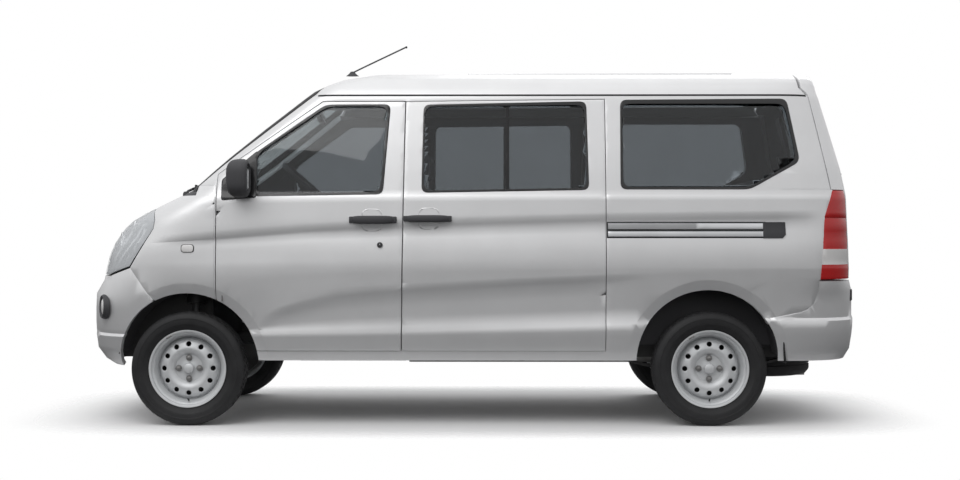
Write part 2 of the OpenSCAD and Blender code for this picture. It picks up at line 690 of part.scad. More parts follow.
gate_hinge_x = gate_top_x + 16;
gate_hinge_z = body_height - 15;
gate_hinge_y = 160;
gate_flat_z = body_height - 21;
module gate_hinge_flats() both_sides()
  box(gate_top_x - 60, gate_top_x, -gate_hinge_y - 34, -gate_hinge_y + 34, up(1780), gate_flat_z);
bonnet_hinge_x = front_x - 125;
bonnet_hinge_z = 1178;
bonnet_hinge_y = 300;
bonnet_top = 1183;
module hinges() color([0.3, 0.3, 0.3]) both_sides() {
  for (z = door_hinge_heights) {
    translate([hinge_x, -hinge_y, z - hinge_half - 14]) cylinder(r = pin_r, h = 2 * hinge_half + 28);
    box(hinge_x - pin_r, hinge_x + pin_r, -hinge_y, -hinge_flat_y - 1, z - hinge_half, z + hinge_half);
    box(wing_rear_x + 2, hinge_x + pin_r, -hinge_flat_y - 7, -hinge_flat_y - 0.3, z - hinge_half,
      z + hinge_half);
  }
  across(gate_hinge_x, gate_hinge_z, pin_r, -gate_hinge_y - 44, -gate_hinge_y + 44);
  box(gate_hinge_x - pin_r, gate_hinge_x + pin_r, -gate_hinge_y - 30, -gate_hinge_y + 30,
    gate_hinge_z - 45, gate_hinge_z);
  box(gate_top_x - 50, gate_hinge_x + pin_r, -gate_hinge_y - 30, -gate_hinge_y + 30, gate_hinge_z - 45,
    gate_hinge_z - 37);
  box(gate_top_x - 50, gate_top_x - 20, -gate_hinge_y - 30, -gate_hinge_y + 30, gate_hinge_z - 45,
    gate_flat_z - 0.3);
  across(bonnet_hinge_x, bonnet_hinge_z, pin_r, -bonnet_hinge_y - 26, -bonnet_hinge_y + 26);
  box(bonnet_hinge_x - pin_r, bonnet_hinge_x + pin_r, -bonnet_hinge_y - 12, -bonnet_hinge_y + 12,
    cowl_z0 - 80, bonnet_hinge_z);
  box(bonnet_hinge_x - pin_r, bulkhead_x - 8 - bond_gap, -bonnet_hinge_y - 12, -bonnet_hinge_y + 12,
    cowl_z0 - 90, cowl_z0 - 75);
}

module front_door_left() color("silver") difference() {
  intersection() {
    skin(0, door_thickness);
    left_of(frame_inner_y);
    side_prism() front_door_shape();
  }
  side_prism() front_window_shape();
  for (z = door_hinge_heights) {
    box(front_edge - 1, hinge_x + 17, -hinge_y - pin_r - 1, 0, z - hinge_half - 8, z + hinge_half + 8);
    translate([hinge_x, -hinge_y, z - hinge_half - 16]) cylinder(r = pin_r + 0.4, h = 2 * hinge_half + 32);
  }
}

module door_glass_left() color([0.15, 0.17, 0.18]) pane() front_window_shape();

mirror_x = front_x + 293;
module door_mirror_left() color([0.08, 0.08, 0.08]) difference() {
  union() {
    hull() for (z = [up(1205), up(1345)], y = [-880, -935], x = [mirror_x - 40, mirror_x + 38])
      translate([x, y, z]) sphere(r = 26, $fn = 16);
    hull() for (y = [-half_width + 60, -900]) translate([mirror_x - 10, y, up(1225)]) sphere(r = 22, $fn = 16);
    intersection() {
      skin(-8, -0.4);
      side_prism(-half_width, 0) polygon([[front_x + 176, up(1208)], [front_x + 345, up(1208)],
        [front_x + 345, up(1384)], [front_x + 184, up(1262)]]);
    }
  }
  loft(-0.4);
}

gate_bottom = 754 + shut_gap;
gate_step_z = up(1220) + shut_gap;
module tailgate() color("silver") difference() {
  intersection() {
    skin(0, tailgate_thickness);
    union() {
      side_prism() polygon([[rear_x + 634 + shut_gap, gate_step_z], [rear_x + 532, up(1721)],
        [gate_top_x, up(1840)], [gate_top_x, body_height + 50], [tail_x + 50, body_height + 50],
        [tail_x + 50, gate_step_z]]);
      box(rear_x + 660, tail_x + 50, -light_inner_y + shut_gap, light_inner_y - shut_gap,
        gate_bottom, gate_step_z + 1);
    }
  }
  translate([rear_x + 500, 0, 0]) rotate([90, 0, 90]) linear_extrude(400) rear_window_shape();
  both_sides() {
    box(gate_top_x - 1, gate_hinge_x + 17, -gate_hinge_y - 38, -gate_hinge_y + 38, gate_hinge_z - 90,
      gate_hinge_z + pin_r + 1);
    across(gate_hinge_x, gate_hinge_z, pin_r + 0.4, -gate_hinge_y - 46, -gate_hinge_y + 46);
  }
}
module tailgate_glass() color([0.15, 0.17, 0.18]) intersection() {
  skin(4, 4 + glass_thickness);
  translate([rear_x + 500, 0, 0]) rotate([90, 0, 90]) linear_extrude(400) offset(delta = -bond_gap)
    rear_window_shape();
}

module bonnet() color("silver") difference() {
  intersection() {
    skin(0, panel_thickness);
    bonnet_plan(0);
    box(nose_x - 50, front_x, -half_width, half_width, grille_top + shut_gap, bonnet_top);
  }
  both_sides() {
    box(bonnet_hinge_x - 16, bonnet_hinge_x + 60, -bonnet_hinge_y - 18, -bonnet_hinge_y + 18,
      bonnet_hinge_z - 60, bonnet_hinge_z + pin_r + 1);
    across(bonnet_hinge_x, bonnet_hinge_z, pin_r + 0.4, -bonnet_hinge_y - 28, -bonnet_hinge_y + 28);
  }
}

side_panels();
front_wings();
roof_panel();
windscreen();
cowl_panel();
front_bumper();
front_grille();
headlights();
rear_bumper();
tail_lights();
sliding_doors();
side_windows();
slide_rails();
floor_pan();
chassis_frame();
inner_wings();
arch_liners();
dashboard();
steering_column();
seat_frames();
front_seats();
middle_seat();
rear_seat();
engine();
propeller_shaft();
fuel_tank();
exhaust();
spare_wheel();
rear_axle();
leaf_springs();
front_suspension();
aerial();
hinges();
front_door_left();
mirror([0, 1, 0]) front_door_left();  // front_door_right
door_glass_left();
mirror([0, 1, 0]) door_glass_left();  // door_glass_right
door_mirror_left();
mirror([0, 1, 0]) door_mirror_left();  // door_mirror_right
tailgate();
tailgate_glass();
bonnet();
knuckle();  // knuckle_left
mirror([0, 1, 0]) knuckle();  // knuckle_right
on_wheel(front_x, -1) tyre();  // tyre_front_left
on_wheel(front_x, 1) tyre();  // tyre_front_right
on_wheel(rear_x, -1) tyre();  // tyre_rear_left
on_wheel(rear_x, 1) tyre();  // tyre_rear_right
on_wheel(front_x, -1) full_rim();  // rim_front_left
on_wheel(front_x, 1) full_rim();  // rim_front_right
on_wheel(rear_x, -1) full_rim();  // rim_rear_left
on_wheel(rear_x, 1) full_rim();  // rim_rear_right
steering_wheel();
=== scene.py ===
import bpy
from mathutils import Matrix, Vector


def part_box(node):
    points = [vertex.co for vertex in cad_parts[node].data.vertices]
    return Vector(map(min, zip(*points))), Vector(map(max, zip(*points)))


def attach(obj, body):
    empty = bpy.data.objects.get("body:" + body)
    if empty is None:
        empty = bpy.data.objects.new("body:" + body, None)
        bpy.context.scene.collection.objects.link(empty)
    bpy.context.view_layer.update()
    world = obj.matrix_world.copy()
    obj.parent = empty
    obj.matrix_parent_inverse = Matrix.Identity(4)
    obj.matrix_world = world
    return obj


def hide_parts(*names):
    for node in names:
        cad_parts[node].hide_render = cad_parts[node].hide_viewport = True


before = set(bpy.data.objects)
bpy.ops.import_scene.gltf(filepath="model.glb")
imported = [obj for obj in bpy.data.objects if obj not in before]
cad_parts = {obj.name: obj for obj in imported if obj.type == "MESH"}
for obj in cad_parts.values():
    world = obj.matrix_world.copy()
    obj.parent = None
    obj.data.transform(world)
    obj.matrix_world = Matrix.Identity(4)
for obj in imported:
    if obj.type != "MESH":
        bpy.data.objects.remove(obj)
"""A compact silver minivan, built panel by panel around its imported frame.

Front is -X, left is -Y and up is +Z, in metres, with the origin on the ground under the middle of the body.
"""
import logging
import math
import random
from dataclasses import dataclass, field
from enum import Enum
from typing import Iterable, Sequence

import bmesh
import bpy
from mathutils import Matrix, Vector, noise

LOG = logging.getLogger("minivan")
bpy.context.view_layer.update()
Point2 = tuple[float, float]
Table = Sequence[tuple[float, float]]


# ---------------------------------------------------------------------------------------------------- finishes


class Grain(Enum):
    """How the small structure of a finish is made."""

    SMOOTH = "smooth"
    FLAKE = "flake"
    PEBBLE = "pebble"
    BRUSHED = "brushed"
    WEAVE = "weave"


@dataclass(frozen=True)
class Finish:
    """A surface finish, made as a procedural material on Object coordinates."""

    name: str
    color: tuple[float, float, float]
    roughness: float = 0.5
    metallic: float = 0.0
    coat: float = 0.0
    coat_roughness: float = 0.04
    transmission: float = 0.0
    ior: float = 1.45
    grain: Grain = Grain.SMOOTH
    grain_scale: float = 900.0
    bump: float = 0.05
    bump_depth: float = 0.0004
    variation: float = 0.06
    variation_scale: float = 6.0
    roughness_spread: float = 0.08
    sheen: float = 0.0
    emission: float = 0.0

    def material(self) -> bpy.types.Material:
        """Makes the material, or returns the one made before.

        Returns:
            The material of this finish.
        """
        found = bpy.data.materials.get(self.name)
        if found is not None:
            return found
        mat = bpy.data.materials.new(self.name)
        mat.use_nodes = True
        tree = mat.node_tree
        shader = tree.nodes["Principled BSDF"]
        shader.inputs["Metallic"].default_value = self.metallic
        shader.inputs["IOR"].default_value = self.ior
        shader.inputs["Coat Weight"].default_value = self.coat
        shader.inputs["Coat Roughness"].default_value = self.coat_roughness
        shader.inputs["Transmission Weight"].default_value = self.transmission
        shader.inputs["Sheen Weight"].default_value = self.sheen
        shader.inputs["Emission Color"].default_value = (*self.color, 1.0)
        shader.inputs["Emission Strength"].default_value = self.emission
        coords = tree.nodes.new("ShaderNodeTexCoord")
        self._colour(tree, shader, coords)
        self._roughness(tree, shader, coords)
        self._grain(tree, shader, coords)
        mat.diffuse_color = (*self.color, 1.0)
        return mat

    def _noise(self, tree: bpy.types.NodeTree, coords: bpy.types.Node, scale: float,
               stretch: tuple[float, float, float] = (1.0, 1.0, 1.0)) -> bpy.types.Node:
        """Adds a noise texture on Object coordinates.

        Args:
            tree: The material's node tree.
            coords: Its Texture Coordinate node.
            scale: Scale of the noise, in features per metre.
            stretch: Scale of the pattern along each axis.

        Returns:
            The noise node.
        """
        mapping = tree.nodes.new("ShaderNodeMapping")
        mapping.inputs["Scale"].default_value = stretch
        texture = tree.nodes.new("ShaderNodeTexNoise")
        texture.inputs["Scale"].default_value = scale
        texture.inputs["Detail"].default_value = 3.0
        tree.links.new(coords.outputs["Object"], mapping.inputs["Vector"])
        tree.links.new(mapping.outputs["Vector"], texture.inputs["Vector"])
        return texture

    def _colour(self, tree: bpy.types.NodeTree, shader: bpy.types.Node, coords: bpy.types.Node) -> None:
        """Varies the base colour a little over the surface.

        Args:
            tree: The material's node tree.
            shader: Its Principled node.
            coords: Its Texture Coordinate node.
        """
        texture = self._noise(tree, coords, self.variation_scale)
        ramp = tree.nodes.new("ShaderNodeValToRGB")
        low = tuple(max(0.0, c * (1.0 - self.variation)) for c in self.color)
        high = tuple(min(1.0, c * (1.0 + self.variation)) for c in self.color)
        ramp.color_ramp.elements[0].position = 0.3
        ramp.color_ramp.elements[1].position = 0.7
        ramp.color_ramp.elements[0].color = (*low, 1.0)
        ramp.color_ramp.elements[1].color = (*high, 1.0)
        tree.links.new(texture.outputs["Fac"], ramp.inputs["Fac"])
        tree.links.new(ramp.outputs["Color"], shader.inputs["Base Color"])

    def _roughness(self, tree: bpy.types.NodeTree, shader: bpy.types.Node, coords: bpy.types.Node) -> None:
        """Varies the roughness between worn and fresh places.

        Args:
            tree: The material's node tree.
            shader: Its Principled node.
            coords: Its Texture Coordinate node.
        """
        texture = self._noise(tree, coords, self.variation_scale * 3.0)
        spread = tree.nodes.new("ShaderNodeMapRange")
        spread.inputs["To Min"].default_value = max(0.0, self.roughness - self.roughness_spread / 2)
        spread.inputs["To Max"].default_value = min(1.0, self.roughness + self.roughness_spread / 2)
        tree.links.new(texture.outputs["Fac"], spread.inputs["Value"])
        tree.links.new(spread.outputs["Result"], shader.inputs["Roughness"])

    def _grain(self, tree: bpy.types.NodeTree, shader: bpy.types.Node, coords: bpy.types.Node) -> None:
        """Adds the bump that the grain of the finish makes.

        Args:
            tree: The material's node tree.
            shader: Its Principled node.
            coords: Its Texture Coordinate node.
        """
        if self.grain is Grain.SMOOTH and self.bump <= 0.0:
            return
        bump = tree.nodes.new("ShaderNodeBump")
        bump.inputs["Strength"].default_value = self.bump
        bump.inputs["Distance"].default_value = self.bump_depth
        if self.grain is Grain.WEAVE:
            waves = []
            for direction in ("X", "Z"):
                wave = tree.nodes.new("ShaderNodeTexWave")
                wave.bands_direction = direction
                wave.inputs["Scale"].default_value = self.grain_scale
                wave.inputs["Distortion"].default_value = 0.6
                tree.links.new(coords.outputs["Object"], wave.inputs["Vector"])
                waves.append(wave)
            joined = tree.nodes.new("ShaderNodeMath")
            joined.operation = "MULTIPLY"
            tree.links.new(waves[0].outputs["Fac"], joined.inputs[0])
            tree.links.new(waves[1].outputs["Fac"], joined.inputs[1])
            height = joined.outputs["Value"]
        elif self.grain is Grain.PEBBLE:
            cells = tree.nodes.new("ShaderNodeTexVoronoi")
            cells.inputs["Scale"].default_value = self.grain_scale
            tree.links.new(coords.outputs["Object"], cells.inputs["Vector"])
            height = cells.outputs["Distance"]
        elif self.grain is Grain.BRUSHED:
            height = self._noise(tree, coords, self.grain_scale, (0.04, 1.0, 1.0)).outputs["Fac"]
        else:
            height = self._noise(tree, coords, self.grain_scale).outputs["Fac"]
        tree.links.new(height, bump.inputs["Height"])
        tree.links.new(bump.outputs["Normal"], shader.inputs["Normal"])


PAINT = Finish("silver_paint", (0.74, 0.742, 0.745), 0.42, 0.50, coat=0.35, coat_roughness=0.12,
               grain=Grain.FLAKE, grain_scale=2600.0, bump=0.05, variation=0.02, roughness_spread=0.04)
# Near-black painted shade: dark sheets put in shut lines, channels and hollows to stand for the shade that falls
# there.
PAINTED_SHADE = Finish("panel_edge_shade", (0.03, 0.031, 0.033), 0.6)
BLACK = Finish("black_plastic", (0.022, 0.022, 0.024), 0.48, grain=Grain.PEBBLE, grain_scale=1100.0, bump=0.25)
GLOSS_BLACK = Finish("gloss_black_trim", (0.012, 0.012, 0.013), 0.22, coat=0.3, bump=0.02)
SEAL = Finish("rubber_seal", (0.016, 0.016, 0.017), 0.7, grain=Grain.PEBBLE, bump=0.2)
TINT = Finish("tinted_glass", (0.28, 0.30, 0.315), 0.02, transmission=1.0, ior=1.45, bump=0.0,
              variation=0.02, roughness_spread=0.01)
SCREEN = Finish("screen_glass", (0.78, 0.84, 0.84), 0.02, transmission=1.0, bump=0.0, variation=0.01,
                roughness_spread=0.01)
LENS = Finish("lamp_lens", (0.86, 0.88, 0.89), 0.03, transmission=1.0, ior=1.4, bump=0.0, variation=0.01,
              roughness_spread=0.01)
REFLECTOR = Finish("lamp_reflector", (0.82, 0.83, 0.84), 0.12, 1.0, bump=0.02, variation=0.04)
BEZEL = Finish("lamp_bezel", (0.07, 0.072, 0.075), 0.35, 0.1, bump=0.03)
RED = Finish("red_lens", (0.45, 0.008, 0.012), 0.12, coat=0.8, bump=0.04, variation=0.1, variation_scale=30.0)
WHITE_LENS = Finish("clear_inset", (0.75, 0.74, 0.73), 0.15, coat=0.8, bump=0.04)
AMBER = Finish("amber_bulb", (0.75, 0.25, 0.03), 0.2, coat=0.5)
ALLOY = Finish("anodised_rail", (0.66, 0.67, 0.68), 0.34, 0.9, grain=Grain.BRUSHED, grain_scale=1600.0)
CHROME = Finish("bright_metal", (0.8, 0.8, 0.81), 0.1, 1.0, bump=0.01)
TYRE = Finish("tyre_rubber", (0.013, 0.013, 0.014), 0.62, grain=Grain.PEBBLE, grain_scale=700.0, bump=0.3,
              variation=0.25, variation_scale=12.0)
WHEEL = Finish("wheel_silver", (0.10, 0.102, 0.105), 0.34, 0.85, coat=0.3, grain=Grain.FLAKE,
               grain_scale=2200.0, variation=0.05)
FABRIC = Finish("seat_fabric", (0.13, 0.135, 0.15), 0.92, grain=Grain.WEAVE, grain_scale=260.0, bump=0.5,
                bump_depth=0.0015, variation=0.25, variation_scale=60.0, sheen=0.3)
FABRIC_INSET = Finish("seat_inset", (0.2, 0.205, 0.22), 0.92, grain=Grain.WEAVE, grain_scale=200.0, bump=0.6,
                      bump_depth=0.0015, variation=0.35, variation_scale=90.0, sheen=0.3)
CABIN = Finish("cabin_plastic", (0.115, 0.117, 0.122), 0.6, grain=Grain.PEBBLE, grain_scale=800.0, bump=0.35)
LINING = Finish("roof_lining", (0.42, 0.42, 0.41), 0.95, grain=Grain.WEAVE, grain_scale=300.0, bump=0.3)
CARPET = Finish("carpet", (0.06, 0.06, 0.065), 1.0, grain=Grain.FLAKE, grain_scale=500.0, bump=0.8,
                bump_depth=0.003, variation=0.3, variation_scale=80.0)
UNDERBODY = Finish("underbody_coat", (0.035, 0.035, 0.037), 0.75, grain=Grain.PEBBLE, grain_scale=300.0,
                   bump=0.5, bump_depth=0.001, variation=0.3)
CHASSIS = Finish("chassis_paint", (0.02, 0.02, 0.021), 0.5, coat=0.2, variation=0.25, variation_scale=10.0)
STEEL = Finish("worn_steel", (0.3, 0.295, 0.29), 0.45, 0.9, grain=Grain.BRUSHED, grain_scale=500.0,
               variation=0.2, variation_scale=25.0)
EXHAUST = Finish("exhaust_steel", (0.3, 0.27, 0.23), 0.5, 0.85, grain=Grain.FLAKE, variation=0.3,
                 variation_scale=14.0)
CASTING = Finish("engine_casting", (0.16, 0.16, 0.16), 0.6, 0.5, grain=Grain.FLAKE, grain_scale=300.0, bump=0.4)


# ------------------------------------------------------------------------------------------------ mesh helpers


def lookup(value: float, table: Table) -> float:
    """Reads a table of (key, value) pairs, with straight lines between its entries.

    Args:
        value: The key to read at.
        table: Pairs in rising order of key.

    Returns:
        The value at that key, held constant past both ends.
    """
    if value <= table[0][0]:
        return table[0][1]
    for (k0, v0), (k1, v1) in zip(table, table[1:]):
        if value <= k1:
            return v0 + (v1 - v0) * (value - k0) / (k1 - k0)
    return table[-1][1]


def inside(x: float, z: float, outline: Sequence[Point2]) -> bool:
    """Says whether a point lies inside a closed outline.

    Args:
        x: First coordinate of the point.
        z: Second coordinate of the point.
        outline: The outline's corners in order.

    Returns:
        True if the point is inside.
    """
    odd = False
    for (x0, z0), (x1, z1) in zip(outline, list(outline[1:]) + [outline[0]]):
        if (z0 > z) != (z1 > z) and x < (x1 - x0) * (z - z0) / (z1 - z0) + x0:
            odd = not odd
    return odd


def grown(outline: Sequence[Point2], amount: float) -> list[Point2]:
    """Moves every side of an outline outwards by a distance.

    Args:
        outline: The outline's corners in order.
        amount: How far to move each side; negative moves inwards.

    Returns:
        The corners of the new outline.
    """
    count = len(outline)
    area = sum(a[0] * b[1] - b[0] * a[1] for a, b in zip(outline, list(outline[1:]) + [outline[0]]))
    sign = 1.0 if area > 0 else -1.0
    result = []
    for i in range(count):
        before, here, after = (Vector(outline[(i + k) % count]) for k in (-1, 0, 1))
        n0 = Vector(((here - before).y, -(here - before).x)).normalized() * sign
        n1 = Vector(((after - here).y, -(after - here).x)).normalized() * sign
        middle = (n0 + n1).normalized()
        result.append(tuple(here + middle * amount / max(0.35, middle.dot(n0))))
    return result


def rounded(outline: Sequence[Point2], radius: float, steps: int = 4) -> list[Point2]:
    """Rounds the corners of an outline.

    Args:
        outline: The outline's corners in order.
        radius: Distance from each corner at which its curve starts.
        steps: Number of points along each curve, less one.

    Returns:
        The points of the rounded outline.
    """
    result = []
    count = len(outline)
    for i in range(count):
        before, here, after = (Vector(outline[(i + k) % count]) for k in (-1, 0, 1))
        r0 = min(radius, (before - here).length * 0.45)
        r1 = min(radius, (after - here).length * 0.45)
        start = here + (before - here).normalized() * r0
        end = here + (after - here).normalized() * r1
        for step in range(steps + 1):
            t = step / steps
            result.append(tuple(start.lerp(here, t).lerp(here.lerp(end, t), t)))
    return result


def cut(bm: bmesh.types.BMesh, outline: Sequence[Point2], axis: int = 1, keep: bool = True) -> None:
    """Cuts a sheet along an outline seen along one axis, and drops what lies outside or inside it.

    Args:
        bm: The sheet.
        outline: The outline's corners, in the two other axes.
        axis: The axis to look along: 1 for a side outline in X and Z, 0 for one in Y and Z.
        keep: True keeps the inside of the outline, False removes it.
    """
    first, second = (0, 2) if axis == 1 else ((1, 2) if axis == 0 else (0, 1))
    low = [min(p[i] for p in outline) - 0.03 for i in (0, 1)]
    high = [max(p[i] for p in outline) + 0.03 for i in (0, 1)]
    if keep:
        far = [f for f in bm.faces
               if not (low[0] < f.calc_center_median()[first] < high[0]
                       and low[1] < f.calc_center_median()[second] < high[1])]
        bmesh.ops.delete(bm, geom=far, context="FACES")
    for a, b in zip(outline, list(outline[1:]) + [outline[0]]):
        normal = Vector((0.0, 0.0, 0.0))
        normal[first] = b[1] - a[1]
        normal[second] = a[0] - b[0]
        if normal.length < 1e-7:
            continue
        origin = Vector((0.0, 0.0, 0.0))
        origin[first], origin[second] = a
        lows = [min(a[i], b[i]) - 0.002 for i in (0, 1)]
        highs = [max(a[i], b[i]) + 0.002 for i in (0, 1)]
        near = [f for f in bm.faces if face_near(f, first, second, lows, highs)]
        geom = list({e for f in near for e in f.edges}) + near + list({v for f in near for v in f.verts})
        bmesh.ops.bisect_plane(bm, geom=geom, dist=1e-5, plane_co=origin, plane_no=normal.normalized())
    drop = []
    for face in bm.faces:
        centre = face.calc_center_median()
        if inside(centre[first], centre[second], outline) != keep:
            drop.append(face)
    bmesh.ops.delete(bm, geom=drop, context="FACES")


def face_near(face: bmesh.types.BMFace, first: int, second: int, lows: Sequence[float],
              highs: Sequence[float]) -> bool:
    """Says whether a face's box reaches into a rectangle.

    Args:
        face: The face.
        first: Index of the rectangle's first axis.
        second: Index of its second axis.
        lows: The rectangle's lowest corner.
        highs: The rectangle's highest corner.

    Returns:
        True if they meet.
    """
    us = [v.co[first] for v in face.verts]
    vs = [v.co[second] for v in face.verts]
    return max(us) > lows[0] and min(us) < highs[0] and max(vs) > lows[1] and min(vs) < highs[1]


def mirrored(bm: bmesh.types.BMesh) -> bmesh.types.BMesh:
    """Copies a mesh to the other side of the car.

    Args:
        bm: The mesh to copy.

    Returns:
        The mirrored copy, with its faces turned to point outwards again.
    """
    other = bm.copy()
    bmesh.ops.scale(other, vec=(1.0, -1.0, 1.0), verts=other.verts)
    bmesh.ops.reverse_faces(other, faces=other.faces)
    return other


def join(target: bmesh.types.BMesh, source: bmesh.types.BMesh) -> bmesh.types.BMesh:
    """Adds one mesh to another and frees it.

    Args:
        target: The mesh that receives the other.
        source: The mesh to add.

    Returns:
        The target.
    """
    mesh = bpy.data.meshes.new("joined")
    source.to_mesh(mesh)
    source.free()
    target.from_mesh(mesh)
    bpy.data.meshes.remove(mesh)
    return target


def both(bm: bmesh.types.BMesh) -> bmesh.types.BMesh:
    """Adds the mirror image of a mesh to itself."""
    return join(bm, mirrored(bm))


def piece(name: str, bm: bmesh.types.BMesh, finishes: Sequence[Finish], body: str,
          replaces: Sequence[str] = (), thickness: float = 0.0, bevel: float = 0.0,
          smooth_angle: float = 40.0, rim: int = 0, inner: int = 0, subdivision: int = 0) -> bpy.types.Object:
    """Makes a finished piece from a mesh.

    Args:
        name: The piece's name.
        bm: Its mesh, which is freed.
        finishes: Its finishes, in the order of the mesh's material numbers.
        body: The body that it rides on.
        replaces: The CAD nodes that it stands for.
        thickness: Wall added on the inner side of a sheet, in metres.
        bevel: Width of the bevel on sharp edges, in metres.
        smooth_angle: Angle past which an edge stays sharp, in degrees.
        rim: Material number offset of the wall's rim.
        inner: Material number offset of the wall's inner face.
        subdivision: Levels of subdivision.

    Returns:
        The piece.
    """
    bmesh.ops.remove_doubles(bm, verts=bm.verts, dist=1e-5)
    mesh = bpy.data.meshes.new(name)
    bm.to_mesh(mesh)
    bm.free()
    obj = bpy.data.objects.new(name, mesh)
    bpy.context.scene.collection.objects.link(obj)
    for finish in finishes:
        mesh.materials.append(finish.material())
    mesh.shade_smooth()
    mesh.set_sharp_from_angle(angle=math.radians(smooth_angle))
    if thickness:
        wall = obj.modifiers.new("wall", "SOLIDIFY")
        wall.thickness = thickness
        wall.offset = -1.0
        wall.use_even_offset = False
        wall.material_offset = inner
        wall.material_offset_rim = rim
    if bevel:
        edge = obj.modifiers.new("edge", "BEVEL")
        edge.width = bevel
        edge.segments = 2
        edge.limit_method = "ANGLE"
        edge.angle_limit = math.radians(50.0)
        edge.use_clamp_overlap = True
    if subdivision:
        smooth = obj.modifiers.new("smooth", "SUBSURF")
        smooth.levels = subdivision
        smooth.render_levels = subdivision
    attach(obj, body)
    if replaces:
        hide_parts(*replaces)
    LOG.info("%s: %d faces on %s", name, len(mesh.polygons), body)
    return obj


def spun(profile: Sequence[Point2], steps: int = 64, closed: bool = False) -> bmesh.types.BMesh:
    """Spins a profile of (radius, height) pairs around the Z axis.

    Args:
        profile: The profile's points.
        steps: Number of steps in the full turn.
        closed: True joins the profile's last point to its first.

    Returns:
        The mesh of the turned shape.
    """
    bm = bmesh.new()
    verts = [bm.verts.new((r, 0.0, h)) for r, h in profile]
    edges = [bm.edges.new(pair) for pair in zip(verts, verts[1:])]
    if closed:
        edges.append(bm.edges.new((verts[-1], verts[0])))
    bmesh.ops.spin(bm, geom=verts + edges, cent=(0, 0, 0), axis=(0, 0, 1), angle=math.tau, steps=steps,
                   use_merge=True)
    bmesh.ops.remove_doubles(bm, verts=bm.verts, dist=1e-5)
    bmesh.ops.recalc_face_normals(bm, faces=bm.faces)
    return bm


def block(low: Sequence[float], high: Sequence[float], bevel: float = 0.004, segments: int = 2
          ) -> bmesh.types.BMesh:
    """Makes a block with rounded edges between two corners.

    Args:
        low: Its lowest corner.
        high: Its highest corner.
        bevel: Width of the rounding.
        segments: Number of steps in the rounding.

    Returns:
        The block's mesh.
    """
    bm = bmesh.new()
    bmesh.ops.create_cube(bm, size=1.0)
    size = Vector(high) - Vector(low)
    bmesh.ops.scale(bm, vec=size, verts=bm.verts)
    bmesh.ops.translate(bm, vec=(Vector(high) + Vector(low)) / 2, verts=bm.verts)
    if bevel:
        bmesh.ops.bevel(bm, geom=list(bm.edges), offset=bevel, offset_type="OFFSET", segments=segments,
                        profile=0.5, affect="EDGES", material=-1, clamp_overlap=True)
    return bm


def prism(outline: Sequence[Point2], y0: float, y1: float, bevel: float = 0.0) -> bmesh.types.BMesh:
    """Extrudes a side outline across the car.

    Args:
        outline: Corners in X and Z.
        y0: One end of the prism.
        y1: The other end.
        bevel: Width of the rounding of its edges.

    Returns:
        The prism's mesh.
    """
    bm = bmesh.new()
    face = bm.faces.new([bm.verts.new((x, y0, z)) for x, z in outline])
    moved = bmesh.ops.extrude_face_region(bm, geom=[face])["geom"]
    bmesh.ops.translate(bm, vec=(0, y1 - y0, 0), verts=[g for g in moved if isinstance(g, bmesh.types.BMVert)])
    bmesh.ops.recalc_face_normals(bm, faces=bm.faces)
    if bevel:
        bmesh.ops.bevel(bm, geom=list(bm.edges), offset=bevel, offset_type="OFFSET", segments=2, profile=0.5,
                        affect="EDGES", material=-1, clamp_overlap=True)
    return bm


def rod(points: Sequence[Sequence[float]], radius: float, sides: int = 12, caps: bool = True
        ) -> bmesh.types.BMesh:
    """Sweeps a round section along a path.

    Args:
        points: The path.
        radius: Radius of the section.
        sides: Number of sides of the section.
        caps: True closes both ends.

    Returns:
        The rod's mesh.
    """
    path = [Vector(p) for p in points]
    bm = bmesh.new()
    rings = []
    for i, here in enumerate(path):
        along = (path[min(i + 1, len(path) - 1)] - path[max(i - 1, 0)]).normalized()
        turn = Vector((0, 0, 1)).rotation_difference(along).to_matrix().to_4x4()
        made = bmesh.ops.create_circle(bm, cap_ends=False, segments=sides, radius=radius,
                                       matrix=Matrix.Translation(here) @ turn)
        rings.append(made["verts"])
    for a, b in zip(rings, rings[1:]):
        edges = [e for ring in (a, b) for e in {e for v in ring for e in v.link_edges}
                 if e.verts[0] in ring and e.verts[1] in ring]
        bmesh.ops.bridge_loops(bm, edges=edges)
    if caps:
        for ring in (rings[0], rings[-1]):
            bm.faces.new(ring)
    bmesh.ops.recalc_face_normals(bm, faces=bm.faces)
    return bm


def turned(bm: bmesh.types.BMesh, matrix: Matrix) -> bmesh.types.BMesh:
    """Applies a transform to a mesh and returns it."""
    bmesh.ops.transform(bm, matrix=matrix, verts=bm.verts)
    return bm


def painted(bm: bmesh.types.BMesh, number: int) -> bmesh.types.BMesh:
    """Gives every face of a mesh one material number and returns the mesh."""
    for face in bm.faces:
        face.material_index = number
    return bm


# ---------------------------------------------------------------------------------------------- the body's form

FRONT_X, REAR_X = -1.465, 1.235
HALF, NOSE_X, TAIL_X = 0.810, -2.055, 2.055
FRONT_DOOR_X, MID_DOOR_X, REAR_DOOR_X = -1.309, -0.358, 0.697
GUTTER, ROOF_END, WING_REAR = 1.716, 1.715, -1.319
FRONT_ARCH, REAR_ARCH, ARCH_R = (FRONT_X, 0.322), (REAR_X - 0.013, 0.339), 0.365


def metres(*pairs: Point2) -> list[Point2]:
    """Turns pairs in millimetres into pairs in metres."""
    return [(a / 1000.0, b / 1000.0) for a, b in pairs]


